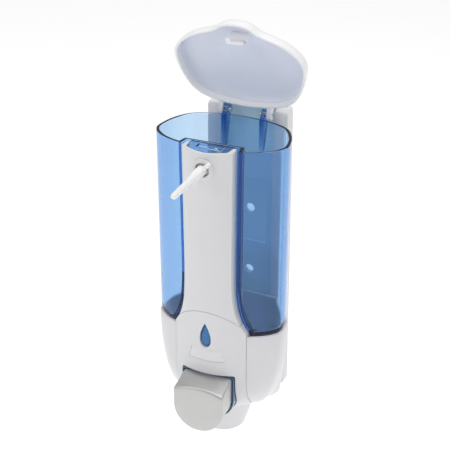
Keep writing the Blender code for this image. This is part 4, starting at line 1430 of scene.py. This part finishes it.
@dataclass
class PumpAndFixings:
    """The piston pump's pieces, the springs, the pins and the screws."""

    button_travel: float = 8.0
    ball_travel: float = 1.5
    cross: Pair = (0.32 / 2.9, 1.55 / 2.9)  # half the recess's arms, as shares of the head's radius

    def springs(self) -> None:
        """The return spring, which the button presses, and the outlet valve's spring, each on a mesh of its own."""
        box = Box.of("return_spring")
        centre = (0, 0, box.centre.z)
        spring = Workpiece.start("return_coil", coil(4.0, 0.45, box.low.y, box.high.y, 5, centre, Axis.Y))
        made = spring.part("body", ["return_spring"], "steel", Finish.WIRE, sharp=60)
        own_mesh(made)
        box = Box.of("outlet_spring")
        centre = (0, box.centre.y, 0)
        spring = Workpiece.start("outlet_coil", coil(1.9, 0.32, box.low.z, box.high.z, 4, centre, Axis.Z))
        made = spring.part("body", ["outlet_spring"], "steel", Finish.WIRE, sharp=60)
        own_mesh(made)

    def screw(self, node: str, body: str, head_radius: float, shank_radius: float) -> None:
        """A pan head screw with a cross recess and a rolled thread.

        Args:
            node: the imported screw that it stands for.
            body: the body that it rides on.
            head_radius: its head's radius.
            shank_radius: its shank's radius.
        """
        box = Box.of(node)
        middle = box.centre
        from_front = node != "cam_screw"
        head, tip = (box.low.y, box.high.y) if from_front else (box.high.y, box.low.y)
        step = 1 if from_front else -1
        thread = []
        y = head + step * 2.6
        while (tip - y) * step > 1.6:
            root = shank_radius * 0.82
            thread += [(root, y), (shank_radius, y + step * 0.3), (root, y + step * 0.6)]
            y += step * 0.8
        pan = [(0, 0), (0.55, 0.05), (0.84, 0.3), (1, 0.8), (1, 1.45)]  # its radius as a share, and its depth
        profile = ([(head_radius * share, head + step * depth) for share, depth in pan]
                   + [(shank_radius, head + step * 1.5)] + thread + [(shank_radius * 0.7, tip - step * 0.9), (0, tip)])
        piece = Workpiece.start(f"{node}_steel", turned(profile, (middle.x, 0, middle.z), Axis.Y, 48))
        low_y, high_y = sorted((head - step, head + step * 0.9))
        for wide, high in (self.cross, self.cross[::-1]):
            x, z = wide * head_radius, high * head_radius
            piece.cut(brick((middle.x - x, low_y, middle.z - z), (middle.x + x, high_y, middle.z + z)))
        piece.part(body, [node], "steel", Finish.STEEL, sharp=30)

    def build(self) -> None:
        """Dresses the pump and makes its springs, pins and screws."""
        self.springs()
        for node in ("pump_screw_left", "pump_screw_right", "housing_screw_left", "housing_screw_right"):
            self.screw(node, "body", 2.9, 1.3)
        self.screw("cam_screw", "lock", 2.7, 0.85)
        natural, steel = ("natural_plastic", Finish.NATURAL), ("steel", Finish.STEEL)
        rubber, silicone = ("black_rubber", Finish.RUBBER), ("clear_silicone", Finish.SILICONE)
        plain = [("pump_body", "body", *natural), ("pump_end_cap", "body", *natural),
                 ("piston_rod", "button", *natural), ("piston_seal", "button", *rubber),
                 ("inlet_gasket", "body", *rubber), ("inlet_valve_seat", "body", *natural),
                 ("inlet_ball", "inlet_ball", *steel), ("outlet_ball", "outlet_ball", *steel),
                 ("nozzle_body", "body", *natural), ("nozzle_tip", "body", *silicone),
                 ("lid_hinge_pin_left", "body", *steel), ("lid_hinge_pin_right", "body", *steel)]
        for node, body, slot, finish in plain:
            carried(node, f"{node}_dressed", body, slot, finish)


# --- studio


@dataclass
class Studio:
    """A pale floor, soft lights and the camera."""

    camera_place: Triple = (0.3234, -0.8020, 0.4481)
    azimuth: float = 23.2
    elevation: float = 26.8
    lens: float = 112.0
    floor_z: float = -0.32
    floor_glow: float = 0.42
    air_glow: float = 0.46
    bounces: int = 24  # light meets many layers of the tank
    aim: Triple = (0, -0.04, 0.02)

    def light(self, name: str, place: Triple, size: float, power: float) -> None:
        """A square soft light that faces the dispenser.

        Args:
            name: its name.
            place: where it stands, in metres.
            size: the length of its side, in metres.
            power: its power in watts.
        """
        lamp = bpy.data.lights.new(name, "AREA")
        lamp.energy, lamp.size = power, size
        obj = bpy.data.objects.new(name, lamp)
        obj.location = place
        obj.rotation_euler = (Vector(self.aim) - Vector(place)).to_track_quat("-Z", "Y").to_euler()
        bpy.context.scene.collection.objects.link(obj)

    def floor(self) -> None:
        """The pale floor, with a faint unevenness."""
        bm = bmesh.new()
        bmesh.ops.create_grid(bm, x_segments=8, y_segments=8, size=6.0)
        bmesh.ops.translate(bm, verts=bm.verts, vec=(0, 0, self.floor_z))
        obj = placed("studio_floor", bm)
        bench = Bench("studio_pale")
        bench.feed("Base Color", bench.mix(bench.noise(400.0), (0.93, 0.93, 0.93, 1), (0.9, 0.9, 0.905, 1)))
        bench.feed("Roughness", 0.9)
        bench.feed("Emission Color", (1, 1, 1, 1))
        bench.feed("Emission Strength", self.floor_glow)
        obj.data.materials.append(bench.material)

    def build(self) -> None:
        """Sets the floor, the world, the lights and the camera."""
        self.floor()
        scene = bpy.context.scene
        world = bpy.data.worlds.new("studio_air")
        world.use_nodes = True
        sky = world.node_tree.nodes["Background"].inputs
        sky["Color"].default_value, sky["Strength"].default_value = (1, 1, 1, 1), self.air_glow
        scene.world = world
        scene.view_settings.view_transform = "Standard"
        scene.cycles.max_bounces = scene.cycles.transmission_bounces = self.bounces
        self.light("key_light", (-0.9, -1.1, 1.1), 0.9, 5.5)
        self.light("fill_light", (1.3, -0.7, 0.5), 1.1, 1.5)
        self.light("top_light", (0.1, 0.1, 1.5), 1.0, 10.0)
        camera = bpy.data.cameras.new("view")
        camera.lens, camera.sensor_width = self.lens, 36.0
        camera.clip_start, camera.clip_end = 0.05, 20.0
        obj = bpy.data.objects.new("view", camera)
        obj.location = self.camera_place
        obj.rotation_euler = (math.radians(90 - self.elevation), 0, math.radians(self.azimuth))
        scene.collection.objects.link(obj)
        scene.camera = obj


def main() -> None:
    """Builds the dispenser's looks in order."""
    logging.basicConfig(level=logging.INFO, format="%(name)s: %(message)s")
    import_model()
    Studio().build()
    form, button = FrontForm(), PushButton()
    makers: list[tuple[str, Callable[[], None]]] = [
        ("back plate", BackPlate().build), ("base", Base(form).build), ("tank", Tank(form).build),
        ("front", FrontPanels(form, button).build), ("lid", Lid().build), ("lock", LockAndKey().build),
        ("button", button.build), ("pump", PumpAndFixings().build)]
    for name, build in makers:
        build()
        log.info("%s is made", name)


if __name__ == "__main__":
    main()
